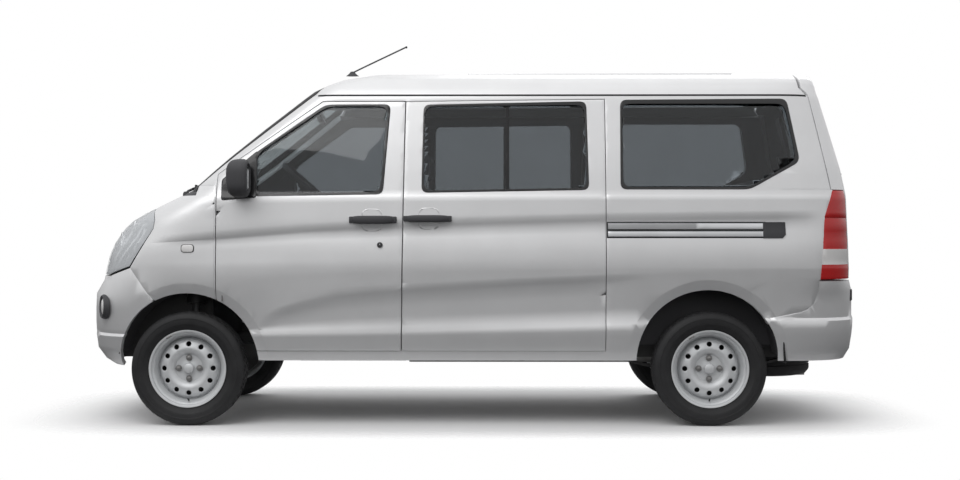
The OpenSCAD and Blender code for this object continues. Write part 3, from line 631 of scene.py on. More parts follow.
SIDE_TUCK = metres((300, 75), (387, 42), (486, 20), (600, 13), (700, 7), (820, 0), (940, 1), (1012, 9),
                   (1180, 21), (1200, 29), (1330, 50), (1450, 72), (1550, 92), (1680, 119), (1716, 128),
                   (1750, 150), (1786, 185), (1814, 230), (1846, 340), (1865, 560), (1873, 710))
NOSE_SETBACK = metres((300, 95), (330, 50), (387, 12), (486, 2), (560, 0), (700, 9), (745, 50), (880, 80),
                      (940, 107), (1012, 154), (1055, 197), (1095, 265), (1140, 360), (1180, 447),
                      (1215, 525), (1245, 563), (1330, 662), (1450, 808), (1550, 929), (1660, 1067),
                      (1750, 1179), (1786, 1247), (1814, 1313), (1846, 1440), (1865, 1675), (1873, 1905))
TAIL_SETBACK = metres((300, 70), (330, 45), (387, 14), (486, 2), (560, 0), (700, 5), (745, 31), (1200, 46),
                      (1330, 70), (1550, 130), (1750, 185), (1846, 193), (1865, 210), (1873, 275))
FRONT_CORNER = metres((1000, 590), (1128, 450), (1245, 300), (1400, 220), (1873, 250))
REAR_CORNER = metres((700, 555), (745, 400))
CREASES = {
    "upper band": (metres((-1689, 946), (-1314, 987), (-877, 1027), (-363, 1056), (48, 1071), (701, 1091),
                          (1796, 1104)),
                   metres((-1689, 944), (-1314, 962), (-877, 994), (-363, 1012), (48, 1023), (701, 1040),
                          (1796, 1055))),
    "lower band": (metres((-1090, 530), (-1000, 596), (-877, 634), (-702, 679), (-532, 699), (-363, 711), (48, 741),
                          (697, 777), (900, 786)),
                   metres((-1090, 510), (-1000, 560), (-877, 593), (-702, 634), (-532, 655), (-363, 669), (48, 699),
                          (697, 735), (900, 760))),
    "ledge": (metres((-1500, 473), (-1082, 495), (-358, 514), (768, 538), (1600, 560), (1900, 560)),
              metres((-1500, 459), (-1082, 477), (-358, 486), (768, 524), (1600, 545), (1900, 545))),
}


FRONT_SQUARENESS = 3.3
REAR_SQUARENESS = 4.0
PRESSING = 0.011


class BodyForm:
    """The curved outside of the car, as a grid over the whole left half that every panel is cut from."""

    def __init__(self) -> None:
        """Starts with no sheets; grid() makes each sheet when it is first asked for."""
        self.sheets: dict[float, bmesh.types.BMesh] = {}

    @staticmethod
    def half_width(z: float) -> float:
        """Half width of the plain body at a height."""
        return HALF - lookup(z, SIDE_TUCK)

    @staticmethod
    def nose(z: float) -> float:
        """X of the foremost point of the body at a height."""
        return NOSE_X + lookup(z, NOSE_SETBACK)

    @staticmethod
    def tail(z: float) -> float:
        """X of the rearmost point of the body at a height."""
        return TAIL_X - lookup(z, TAIL_SETBACK)

    def outline(self, t: float, z: float, depth: float) -> Vector:
        """A point of the body's level outline.

        Args:
            t: 0 at the nose on the centre line, 1 where the front corner ends, 2 where the rear corner
                starts and 3 at the tail on the centre line.
            z: Height of the outline.
            depth: How far inside the skin the point lies.

        Returns:
            The point, on the left side of the car.
        """
        width = self.half_width(z) - depth
        front, rear = self.nose(z) + depth, self.tail(z) - depth
        front_l = max(0.05, lookup(z, FRONT_CORNER) - depth)
        rear_l = max(0.05, lookup(z, REAR_CORNER) - depth)
        if t <= 1.0:
            angle = (1.0 - t) * math.pi / 2
            n = 2.0 / FRONT_SQUARENESS
            x = front + front_l * (1.0 - math.sin(angle) ** n)
            y = width * max(0.0, math.cos(angle)) ** n
        elif t < 2.0:
            x = front + front_l + (rear - rear_l - front - front_l) * (t - 1.0)
            y = width
        else:
            angle = (t - 2.0) * math.pi / 2
            n = 2.0 / REAR_SQUARENESS
            x = rear - rear_l * (1.0 - math.sin(angle) ** n)
            y = width * max(0.0, math.cos(angle)) ** n
        return Vector((x, -y, z))

    @staticmethod
    def detail(x: float, y: float, z: float) -> float:
        """Depth of the pressed feature lines below the plain skin at a point of the side.

        Args:
            x: Where along the car.
            y: Half width there.
            z: Height.

        Returns:
            How far the surface lies inwards of the plain skin.
        """
        top, low = (lookup(x, t) for t in CREASES["upper band"])
        fade = min(1.0, max(0.0, (x + 1.69) / 0.35)) * min(1.0, max(0.0, (1.80 - x) / 0.15))
        depth = 0.0
        if low <= z <= top:
            depth = PRESSING * fade * (top - z) / max(0.002, top - low)
        elif z < low:
            depth = PRESSING * fade * max(0.0, 1.0 - (low - z) / 0.16)
        ledge_top, ledge_low = (lookup(x, t) for t in CREASES["ledge"])
        top, low = (lookup(x, t) for t in CREASES["lower band"])
        fade = min(1.0, max(0.0, (x + 1.09) / 0.12)) * min(1.0, max(0.0, (0.90 - x) / 0.30))
        if ledge_low < z < ledge_top:
            depth += PRESSING * (z - ledge_low) / (ledge_top - ledge_low)
        elif z >= ledge_top:
            plain = max(0.0, 1.0 - (z - ledge_top) / 0.25)
            pressed = min(1.0, max(0.0, (top - z) / max(0.002, top - low)))
            depth += PRESSING * (fade * pressed + (1.0 - fade) * plain)
        if y < 0.6:
            depth *= max(0.0, (y - 0.4) / 0.2)
        return depth

    def grid(self, depth: float) -> bmesh.types.BMesh:
        """Makes the sheet over the left half of the car at one depth inside its skin.

        Args:
            depth: Depth below the skin in metres.

        Returns:
            A copy of that sheet, which the caller owns.
        """
        if depth in self.sheets:
            return self.sheets[depth].copy()
        columns = ([i / 26 for i in range(26)] + [1 + i / 96 for i in range(96)] +
                   [2 + i / 22 for i in range(23)])
        keys = (0.300, 0.330, 0.387, "ledge low", "ledge", "lower low", "lower", 0.820, "upper low",
                "upper", 1.180, 1.200, 1.245, 1.330, 1.450, 1.550, 1.680, 1.716, 1.750, 1.786, 1.814, 1.846,
                1.865, 1.873)
        parts = (1, 3, 4, 1, 3, 2, 4, 5, 2, 6, 2, 2, 3, 4, 3, 4, 2, 3, 3, 3, 4, 5, 4)
        bm = bmesh.new()
        rows = []
        for i, (key, after) in enumerate(zip(keys, keys[1:])):
            rows += [(key, after, s / parts[i]) for s in range(parts[i])]
        rows += [(keys[-1], keys[-1], 0.0)] * 3
        made = bmesh.ops.create_grid(bm, x_segments=len(columns) - 1, y_segments=len(rows) - 1, size=1.0)
        ordered = sorted(made["verts"], key=lambda v: (round(v.co.y, 6), v.co.x))
        count = len(columns)
        for r, (key, after, share) in enumerate(rows):
            for c, t in enumerate(columns):
                vert = ordered[r * count + c]
                rough = self.outline(t, 0.8, 0.0)
                z0, z1 = self.height(key, rough.x), self.height(after, rough.x)
                z = z0 + (z1 - z0) * share
                point = self.outline(t, z, depth)
                if depth < 0.02:
                    inward = self.detail(point.x, -point.y, z)
                    point = self.outline(t, z, depth + inward)
                closing = max(0, r - len(rows) + 3)
                point.y *= 1.0 - closing / 2
                point.z += 0.0004 * closing
                vert.co = point
        for face in bm.faces:
            face.smooth = True
        bmesh.ops.recalc_face_normals(bm, faces=bm.faces)
        middle = min(bm.faces, key=lambda f: (f.calc_center_median() - Vector((0, -HALF, 0.8))).length)
        if middle.normal.y > 0:
            bmesh.ops.reverse_faces(bm, faces=bm.faces)
        self.sheets[depth] = bm
        return bm.copy()

    @staticmethod
    def height(key: float | str, x: float) -> float:
        """Height of one of the grid's guide lines.

        Args:
            key: A plain height, or the name of a crease line.
            x: Where along the car.

        Returns:
            The height in metres.
        """
        if not isinstance(key, str):
            return key
        name, low = key.split(" ")[0], key.endswith("low")
        band = {"ledge": "ledge", "lower": "lower band", "upper": "upper band"}[name]
        x = max(-1.09 if name == "lower" else -1.689, min(x, 1.796))
        return lookup(x, CREASES[band][1 if low else 0])

    def panel(self, outline: Sequence[Point2], depth: float = 0.0, holes: Iterable[Sequence[Point2]] = (),
              arches: bool = False) -> bmesh.types.BMesh:
        """Cuts a panel of the left side out of the skin.

        Args:
            outline: The panel's outline in X and Z.
            depth: Depth of the panel below the skin.
            holes: Outlines of openings in it.
            arches: True cuts the wheel arches and flares the skin around them.

        Returns:
            The panel's mesh.
        """
        bm = self.grid(depth)
        cut(bm, outline)
        for hole in holes:
            cut(bm, hole, keep=False)
        if arches:
            for centre in (FRONT_ARCH, REAR_ARCH):
                wheel_arch(bm, centre)
        return bm


def circle(centre: Point2, radius: float, steps: int = 72) -> list[Point2]:
    """Points of a circle in X and Z."""
    return [(centre[0] + radius * math.cos(math.tau * i / steps),
             centre[1] + radius * math.sin(math.tau * i / steps)) for i in range(steps)]


def wheel_arch(bm: bmesh.types.BMesh, centre: Point2, flare: bool = True) -> None:
    """Cuts a wheel arch into a side panel and presses its flare.

    Args:
        bm: The panel.
        centre: The arch's centre in X and Z.
        flare: True presses the band around the arch inwards.
    """
    if not any(math.hypot(v.co.x - centre[0], v.co.z - centre[1]) < ARCH_R for v in bm.verts):
        return
    for radius in (ARCH_R + 0.050, ARCH_R + 0.012):
        ring = circle(centre, radius)
        for a, b in zip(ring, ring[1:] + ring[:1]):
            lows = [min(a[i], b[i]) - 0.001 for i in (0, 1)]
            highs = [max(a[i], b[i]) + 0.001 for i in (0, 1)]
            near = [f for f in bm.faces if face_near(f, 0, 2, lows, highs)]
            if not near:
                continue
            geom = list({e for f in near for e in f.edges}) + near + list({v for f in near for v in f.verts})
            normal = Vector((b[1] - a[1], 0.0, a[0] - b[0])).normalized()
            bmesh.ops.bisect_plane(bm, geom=geom, dist=1e-5, plane_co=(a[0], 0, a[1]), plane_no=normal)
    cut(bm, circle(centre, ARCH_R), keep=False)
    for vert in bm.verts:
        away = math.hypot(vert.co.x - centre[0], vert.co.z - centre[1]) - ARCH_R
        if flare and away < 0.0505 and vert.co.y < -0.5:
            vert.co.y += 0.011 * (0.0505 - away) / 0.05


FORM = BodyForm()


def surface_point(x: float, z: float, depth: float = 0.0) -> Vector:
    """The point of the left side of the skin at a place seen from the side.

    Args:
        x: Where along the car.
        z: Height.
        depth: Depth below the skin.

    Returns:
        The point.
    """
    low, high = 0.0, 3.0
    for _ in range(40):
        middle = (low + high) / 2
        if FORM.outline(middle, z, depth).x < x:
            low = middle
        else:
            high = middle
    return FORM.outline((low + high) / 2, z, depth)


# ------------------------------------------------------------------------------------------------- body panels


BUMPER_LINE = metres((1541, 560), (1695, 591), (1733, 606), (1764, 634), (1786, 696), (1789, 754))
LIGHT_LINE = metres((1794, 754), (1819, 1083), (1869, 1220))
GATE_LINE = metres((1857, 1220), (1760, 1721))
PILLAR = metres((-1422, 1245), (-1316, 1330), (-814, 1724), (-775, 1775), (-850, 1850))
LAMP_LINE = metres((-1762, 820), (-1640, 1019), (-1635, 1067), (-1661, 1127))
DOOR_FRONT = [(FRONT_DOOR_X, 0.390), (MID_DOOR_X - 0.003, 0.390), (MID_DOOR_X + 0.016, 1.680),
              (FRONT_X + 0.695, 1.680), (FRONT_DOOR_X, 1.300)]
DOOR_SLIDING = [(MID_DOOR_X + 0.003, 0.390), (REAR_DOOR_X - 0.003, 0.390), (REAR_DOOR_X - 0.003, 1.692),
                (MID_DOOR_X + 0.022, 1.680)]
WINDOW_FRONT = metres((-1112, 1196), (-464, 1205), (-426, 1660), (-750, 1660), (-1112, 1405))
WINDOW_SLIDING = metres((-246, 1212), (602, 1226), (594, 1668), (-240, 1660))
WINDOW_QUARTER = metres((783, 1230), (1435, 1230), (1685, 1372), (1633, 1674), (781, 1674))
TRIM_FRONT = metres((-1128, 1186), (-452, 1197), (-416, 1668), (-756, 1667), (-1126, 1405))
TRIM_SLIDING = metres((-254, 1205), (610, 1219), (600, 1683), (-246, 1666))
TRIM_QUARTER = metres((771, 1222), (1438, 1222), (1698, 1366), (1641, 1697), (776, 1691))
SAIL = metres((-1287, 1272), (-1285, 1166), (-1104, 1180), (-1104, 1425))
BONNET_PLAN = [(-2.2, -0.464), (FRONT_X + 0.1, -0.507), (FRONT_X + 0.1, 0.2), (-2.2, 0.2)]


@dataclass
class SidePanels:
    """The fixed body sides, with the door frames behind the skin."""

    skin_depth: float = 0.050
    frame_depth: float = 0.0505
    frame_thickness: float = 0.034

    def shape(self) -> list[Point2]:
        """Outline of the whole body side in X and Z."""
        return ([(WING_REAR, 0.338), (REAR_X + 0.306, 0.338)] + BUMPER_LINE + LIGHT_LINE + GATE_LINE +
                [(REAR_X + 0.524, GUTTER), (FRONT_X + 0.641, GUTTER), PILLAR[1], PILLAR[0], (WING_REAR, 1.245)])

    def build(self) -> None:
        """Makes the skin and the inner frame of both sides."""
        skin = FORM.panel(self.shape(), holes=(grown(DOOR_FRONT, 0.005), grown(DOOR_SLIDING, 0.004),
                                               rounded(WINDOW_QUARTER, 0.05)), arches=True)
        piece("side_skin", both(skin), (PAINT,), "root", ("side_panels",),
              thickness=self.skin_depth, bevel=0.0022)
        frame_shape = grown(self.shape(), -0.004)
        inner = FORM.panel(frame_shape, self.frame_depth,
                           (grown(DOOR_FRONT, -0.030), grown(DOOR_SLIDING, -0.030),
                            rounded(grown(WINDOW_QUARTER, -0.006), 0.05)))
        for centre in (FRONT_ARCH, REAR_ARCH):
            cut(inner, circle(centre, ARCH_R, 36), keep=False)
        piece("side_frame", both(inner), (PAINT, CABIN), "root",
              thickness=self.frame_thickness, inner=1, bevel=0.002)
        self.seals()
        self.fuel_flap()

    def seals(self) -> None:
        """Makes the rubber seals around the door openings."""
        for name, outline in (("front", DOOR_FRONT), ("sliding", DOOR_SLIDING)):
            ring = FORM.panel(rounded(grown(outline, -0.006), 0.03), 0.0465,
                              (rounded(grown(outline, -0.020), 0.03),))
            cut(ring, circle(FRONT_ARCH, ARCH_R + 0.01, 36), keep=False)
            cut(ring, circle(REAR_ARCH, ARCH_R + 0.01, 36), keep=False)
            piece(f"{name}_door_seal", both(ring), (SEAL,), "root", thickness=0.004,
                  bevel=0.0015)

    @staticmethod
    def fuel_flap() -> None:
        """Makes the fuel flap on the right rear quarter, with a dark ring of painted shade for its shut line."""
        flap = rounded(metres((930, 860), (1090, 860), (1090, 1010), (930, 1010)), 0.03)
        sheet = mirrored(FORM.panel(flap, -0.0012))
        piece("fuel_flap", sheet, (PAINT,), "root", thickness=0.004, bevel=0.001)
        # A thin near-black ring just proud of the skin: painted shade for the flap's shut line, not a real gap.
        ring = mirrored(FORM.panel(rounded(grown(flap, 0.004), 0.03), -0.0004, (flap,)))
        piece("fuel_flap_gap_shade", ring, (PAINTED_SHADE,), "root", thickness=0.002)


@dataclass
class WindowTrims:
    """Black frames around the side windows, and the panes in them."""

    proud: float = 0.0016

    def ring(self, outer: Sequence[Point2], hole: Sequence[Point2], body: str, name: str, slot: str,
             sides: Sequence[int] = (-1, 1)) -> None:
        """Makes one black window frame.

        Args:
            outer: Outer outline of the frame.
            hole: Outline of the pane in it.
            body: Body that it rides on.
            name: Name of the piece.
            slot: Not used.
            sides: -1 for the left side of the car, 1 for the right.
        """
        ring = FORM.panel(rounded(outer, 0.035), -self.proud, (rounded(grown(hole, -0.004), 0.045),))
        target = bmesh.new()
        if -1 in sides:
            join(target, ring.copy())
        if 1 in sides:
            join(target, mirrored(ring))
        ring.free()
        piece(name, target, (GLOSS_BLACK,), body, thickness=0.012, bevel=0.0012)

    @staticmethod
    def pane(hole: Sequence[Point2], body: str, name: str, node: str | None, sides: Sequence[int] = (-1, 1),
             cuts: Sequence[float] = ()) -> None:
        """Makes one tinted pane.

        Args:
            hole: The window's outline.
            body: Body that it rides on.
            name: Name of the piece.
            node: The CAD node that it stands for, or None.
            sides: -1 for the left side of the car, 1 for the right.
            cuts: X of the edges where one pane slides over another.
        """
        sheet = FORM.panel(rounded(grown(hole, 0.004), 0.045), 0.010)
        target = bmesh.new()
        if -1 in sides:
            join(target, sheet.copy())
        if 1 in sides:
            join(target, mirrored(sheet))
        sheet.free()
        piece(name, target, (TINT,), body, (node,) if node else (), thickness=0.0042)
        for x in cuts:
            low, high = min(p[1] for p in hole), max(p[1] for p in hole)
            bar = FORM.panel([(x - 0.009, low), (x + 0.009, low), (x + 0.009, high), (x - 0.009, high)], 0.0075)
            piece(f"{name}_edge", both(bar) if len(sides) == 2 else bar, (SEAL,), body,
                  thickness=0.004, bevel=0.001)

    def build(self) -> None:
        """Makes every side window's frame and pane."""
        self.ring(TRIM_QUARTER, WINDOW_QUARTER, "root", "quarter_window_frame", "black_plastic")
        self.ring(TRIM_SLIDING, WINDOW_SLIDING, "root", "sliding_window_frame", "black_plastic")
        self.pane(WINDOW_QUARTER, "root", "quarter_panes", "side_windows")
        self.pane(WINDOW_SLIDING, "root", "sliding_panes", None, cuts=(0.19,))
        for side, sign in (("left", -1), ("right", 1)):
            body = f"front_door_{side}"
            self.ring(TRIM_FRONT, WINDOW_FRONT, body, f"door_window_frame_{side}", "black_plastic", (sign,))
            self.pane(WINDOW_FRONT, body, f"door_pane_{side}", f"door_glass_{side}", (sign,))


@dataclass
class DoorHandle:
    """A pull handle of black plastic over a pressed cup."""

    name: str
    body: str
    low: Point2
    high: Point2
    cup_low: Point2
    cup_high: Point2
    sides: tuple[int, ...] = (-1, 1)

    def build(self) -> None:
        """Makes the cup and the bar of the handle."""
        cup = rounded([self.cup_low, (self.cup_high[0], self.cup_low[1]), self.cup_high,
                       (self.cup_low[0], self.cup_high[1])], 0.035, 6)
        dish = FORM.panel(cup, -0.0008)
        middle = Vector(((self.cup_low[0] + self.cup_high[0]) / 2, (self.cup_low[1] + self.cup_high[1]) / 2))
        size = Vector((self.cup_high[0] - self.cup_low[0], self.cup_high[1] - self.cup_low[1])) / 2
        bmesh.ops.subdivide_edges(dish, edges=list(dish.edges), cuts=2, use_grid_fill=True)
        for vert in dish.verts:
            u = (vert.co.x - middle.x) / size.x
            w = (vert.co.z - middle.y) / size.y
            vert.co.y += 0.011 * max(0.0, 1.0 - (u * u + w * w) ** 1.5)
        self.place(dish, f"{self.name}_cup", PAINT, "body_paint", 0.0, 0.0, 0.002)
        length = self.high[0] - self.low[0]
        bar = bmesh.new()
        rings = []
        count = 28
        z_mid = (self.low[1] + self.high[1]) / 2
        tall = (self.high[1] - self.low[1]) / 2
        for i in range(count + 1):
            s = i / count
            x = self.low[0] + length * s
            base = surface_point(x, z_mid).y
            rise = 0.034 * (1.0 - abs(2 * s - 1) ** 4) + 0.004
            thick = 0.0075 + 0.004 * abs(2 * s - 1) ** 3
            half = tall * (1.0 - 0.35 * abs(2 * s - 1) ** 5)
            made = bmesh.ops.create_circle(bar, segments=16, radius=1.0, matrix=Matrix.Translation(
                (x, base - rise + thick, z_mid)) @ Matrix.Diagonal((1, thick, half, 1)) @
                Matrix.Rotation(math.pi / 2, 4, "Y"))
            rings.append(made["verts"])
        for a, b in zip(rings, rings[1:]):
            for k in range(16):
                bar.faces.new((a[k], a[(k + 1) % 16], b[(k + 1) % 16], b[k]))
        for ring in (rings[0], rings[-1]):
            bar.faces.new(ring)
        bmesh.ops.recalc_face_normals(bar, faces=bar.faces)
        for s in (0.02, 0.98):
            x = self.low[0] + length * s
            base = surface_point(x, z_mid).y
            join(bar, block((x - 0.012, base - 0.012, z_mid - tall * 0.8), (x + 0.012, base + 0.004,
                                                                            z_mid + tall * 0.8), 0.004))
        self.place(bar, f"{self.name}_bar", BLACK, "black_plastic", 0.0, 0.0)

    def place(self, bm: bmesh.types.BMesh, name: str, finish: Finish, slot: str, dx: float, dz: float,
              thickness: float = 0.0) -> None:
        """Puts one part of the handle on each side that has it.

        Args:
            bm: Mesh of the part on the left side.
            name: Name of the piece.
            finish: Its finish.
            slot: Not used.
            dx: Shift along the car.
            dz: Shift upwards.
            thickness: Wall thickness for a sheet.
        """
        bmesh.ops.translate(bm, vec=(dx, 0, dz), verts=bm.verts)
        for sign in self.sides:
            side = "left" if sign < 0 else "right"
            body = self.body if self.body == "root" else f"{self.body}_{side}"
            copy = bm.copy() if sign < 0 else mirrored(bm)
            piece(f"{name}_{side}", copy, (finish,), body, thickness=thickness)
        bm.free()


@dataclass
class FrontDoors:
    """The two hinged front doors with trims, mirrors, handles and locks."""

    thickness: float = 0.042

    def build(self) -> None:
        """Makes both doors."""
        skin = FORM.panel(DOOR_FRONT, holes=(rounded(WINDOW_FRONT, 0.045),))
        wheel_arch(skin, FRONT_ARCH)
        for side, copy in (("left", skin.copy()), ("right", mirrored(skin))):
            piece(f"door_skin_{side}", copy, (PAINT, CABIN), f"front_door_{side}",
                  (f"front_door_{side}",), thickness=self.thickness, inner=1, bevel=0.0022)
            sail = FORM.panel(rounded(SAIL, 0.012), -0.0030)
            sail = sail if side == "left" else mirrored(sail)
            piece(f"mirror_sail_{side}", sail, (GLOSS_BLACK,), f"front_door_{side}",
                  thickness=0.012, bevel=0.0012)
            self.mirror(side)
            self.inner_trim(side)
            self.lock(side)
        skin.free()
        DoorHandle("front_handle", "front_door", (-0.617, 1.044), (-0.387, 1.086), (-0.561, 1.006),
                   (-0.455, 1.121)).build()

    @staticmethod
    def flip(bm: bmesh.types.BMesh, side: str) -> bmesh.types.BMesh:
        """Gives the mesh itself for the left side, or its mirror image for the right."""
        return bm if side == "left" else mirrored(bm)

    def mirror(self, side: str) -> None:
        """Makes a door mirror with its glass and foot.

        Args:
            side: "left" or "right".
        """
        head = bmesh.new()
        bmesh.ops.create_uvsphere(head, u_segments=40, v_segments=24, radius=1.0)
        for vert in head.verts:
            x, y, z = vert.co
            power = 0.62
            shape = [math.copysign(abs(v) ** power, v) for v in (x, y, z)]
            vert.co = Vector((-1.172 + shape[0] * (0.064 if shape[0] < 0 else 0.052) * (1 - 0.12 * shape[1]),
                              -0.868 + shape[1] * 0.088, 1.276 + shape[2] * 0.098 * (1.0 + 0.08 * shape[1])))
        bmesh.ops.bisect_plane(head, geom=list(head.faces) + list(head.edges) + list(head.verts),
                               dist=1e-5, plane_co=(-1.128, -0.868, 1.276), plane_no=(1.0, 0.0, 0.0),
                               clear_outer=True)
        rim = [e for e in head.edges if e.is_boundary]
        hole = bmesh.ops.contextual_create(head, geom=rim)["faces"]
        bmesh.ops.inset_region(head, faces=hole, thickness=0.009, depth=0.0)
        bmesh.ops.translate(head, vec=(-0.010, 0, 0), verts=list({v for f in hole for v in f.verts}))
        for face in hole:
            face.material_index = 1
        bmesh.ops.recalc_face_normals(head, faces=head.faces)
        piece(f"mirror_head_{side}", self.flip(head, side), (BLACK, CHROME), f"front_door_{side}",
              (f"door_mirror_{side}",), smooth_angle=50.0)
        foot = rod([(-1.205, -0.745, 1.218), (-1.195, -0.782, 1.224), (-1.180, -0.812, 1.240)], 0.024, 20)
        bmesh.ops.scale(foot, vec=(1.5, 1.0, 0.8), space=Matrix.Translation((1.193, 0, -1.226)),
                        verts=foot.verts)
        piece(f"mirror_foot_{side}", self.flip(foot, side), (BLACK,), f"front_door_{side}",
              bevel=0.002)

    def inner_trim(self, side: str) -> None:
        """Makes the arm rest, the pocket and the inner handle of a door.

        Args:
            side: "left" or "right".
        """
        rest = FORM.panel(rounded(metres((-1080, 860), (-480, 900), (-480, 965), (-1080, 930)), 0.03), 0.043)
        piece(f"door_arm_rest_{side}", self.flip(rest, side), (CABIN,), f"front_door_{side}",
              thickness=0.035, bevel=0.006)
        pocket = FORM.panel(rounded(metres((-1000, 470), (-460, 470), (-460, 600), (-1000, 640)), 0.04), 0.043)
        piece(f"door_pocket_{side}", self.flip(pocket, side), (CABIN,), f"front_door_{side}",
              thickness=0.028, bevel=0.006)
        pull = rod([(-1.02, -0.745, 1.02), (-1.02, -0.722, 1.025), (-0.92, -0.716, 1.03),
                    (-0.91, -0.745, 1.03)], 0.008, 12)
        piece(f"door_pull_{side}", self.flip(pull, side), (GLOSS_BLACK,), f"front_door_{side}",
              bevel=0.001)

    def lock(self, side: str) -> None:
        """Makes the key lock under a door handle.

        Args:
            side: "left" or "right".
        """
        where = surface_point(-0.466, 0.936)
        barrel = turned(spun([(0.0, 0.0035), (0.009, 0.0035), (0.0105, 0.002), (0.0125, 0.003), (0.0145, 0.0),
                              (0.0145, -0.006), (0.0, -0.006)], 40),
                        Matrix.Translation(where) @ Matrix.Rotation(math.pi / 2, 4, "X"))
        slot_bar = block((where.x - 0.0012, where.y - 0.0042, where.z - 0.006),
                         (where.x + 0.0012, where.y - 0.002, where.z + 0.006), 0.0004)
        join(barrel, painted(slot_bar, 1))
        piece(f"door_lock_{side}", self.flip(barrel, side), (BLACK, CHROME), f"front_door_{side}")


@dataclass
class SlidingDoors:
    """The two sliding doors, shut, with their rails."""

    thickness: float = 0.040

    def build(self) -> None:
        """Makes the doors and the rails behind them."""
        skin = FORM.panel(DOOR_SLIDING, holes=(rounded(WINDOW_SLIDING, 0.045),))
        piece("sliding_door_skins", both(skin), (PAINT, CABIN), "root", ("sliding_doors",),
              thickness=self.thickness, inner=1, bevel=0.0022)
        trim = FORM.panel(rounded(metres((-250, 470), (590, 470), (590, 1120), (-250, 1120)), 0.05), 0.0405)
        piece("sliding_door_trims", both(trim), (CABIN, FABRIC), "root",
              thickness=0.005, inner=0, bevel=0.002)
        DoorHandle("sliding_handle", "root", (-0.337, 1.052), (-0.104, 1.089), (-0.269, 1.015),
                   (-0.160, 1.127)).build()
        self.rails()

    @staticmethod
    def rails() -> None:
        """Makes the bright slide rails, a dark strip of painted shade in their channel, and their dark end caps."""
        # A near-black sheet just proud of the skin: painted shade for the recessed channel behind the rails.
        channel = FORM.panel(metres((699, 971), (1514, 971), (1514, 1055), (699, 1055)), -0.0004)
        piece("slide_rail_channel_shade", both(channel), (PAINTED_SHADE,), "root", thickness=0.006)
        for name, low, high in (("lower", 0.979, 1.005), ("upper", 1.017, 1.047)):
            rail = FORM.panel([(0.706, low), (1.512, low), (1.512, high), (0.706, high)], -0.0035)
            piece(f"slide_rails_{name}", both(rail), (ALLOY,), "root",
                  ("slide_rails",) if name == "lower" else (), thickness=0.010, bevel=0.0025)
        cap = FORM.panel(metres((1500, 971), (1600, 971), (1624, 996), (1624, 1053), (1500, 1053)), -0.0050)
        piece("slide_rail_caps", both(cap), (BLACK,), "root", thickness=0.014, bevel=0.0025)


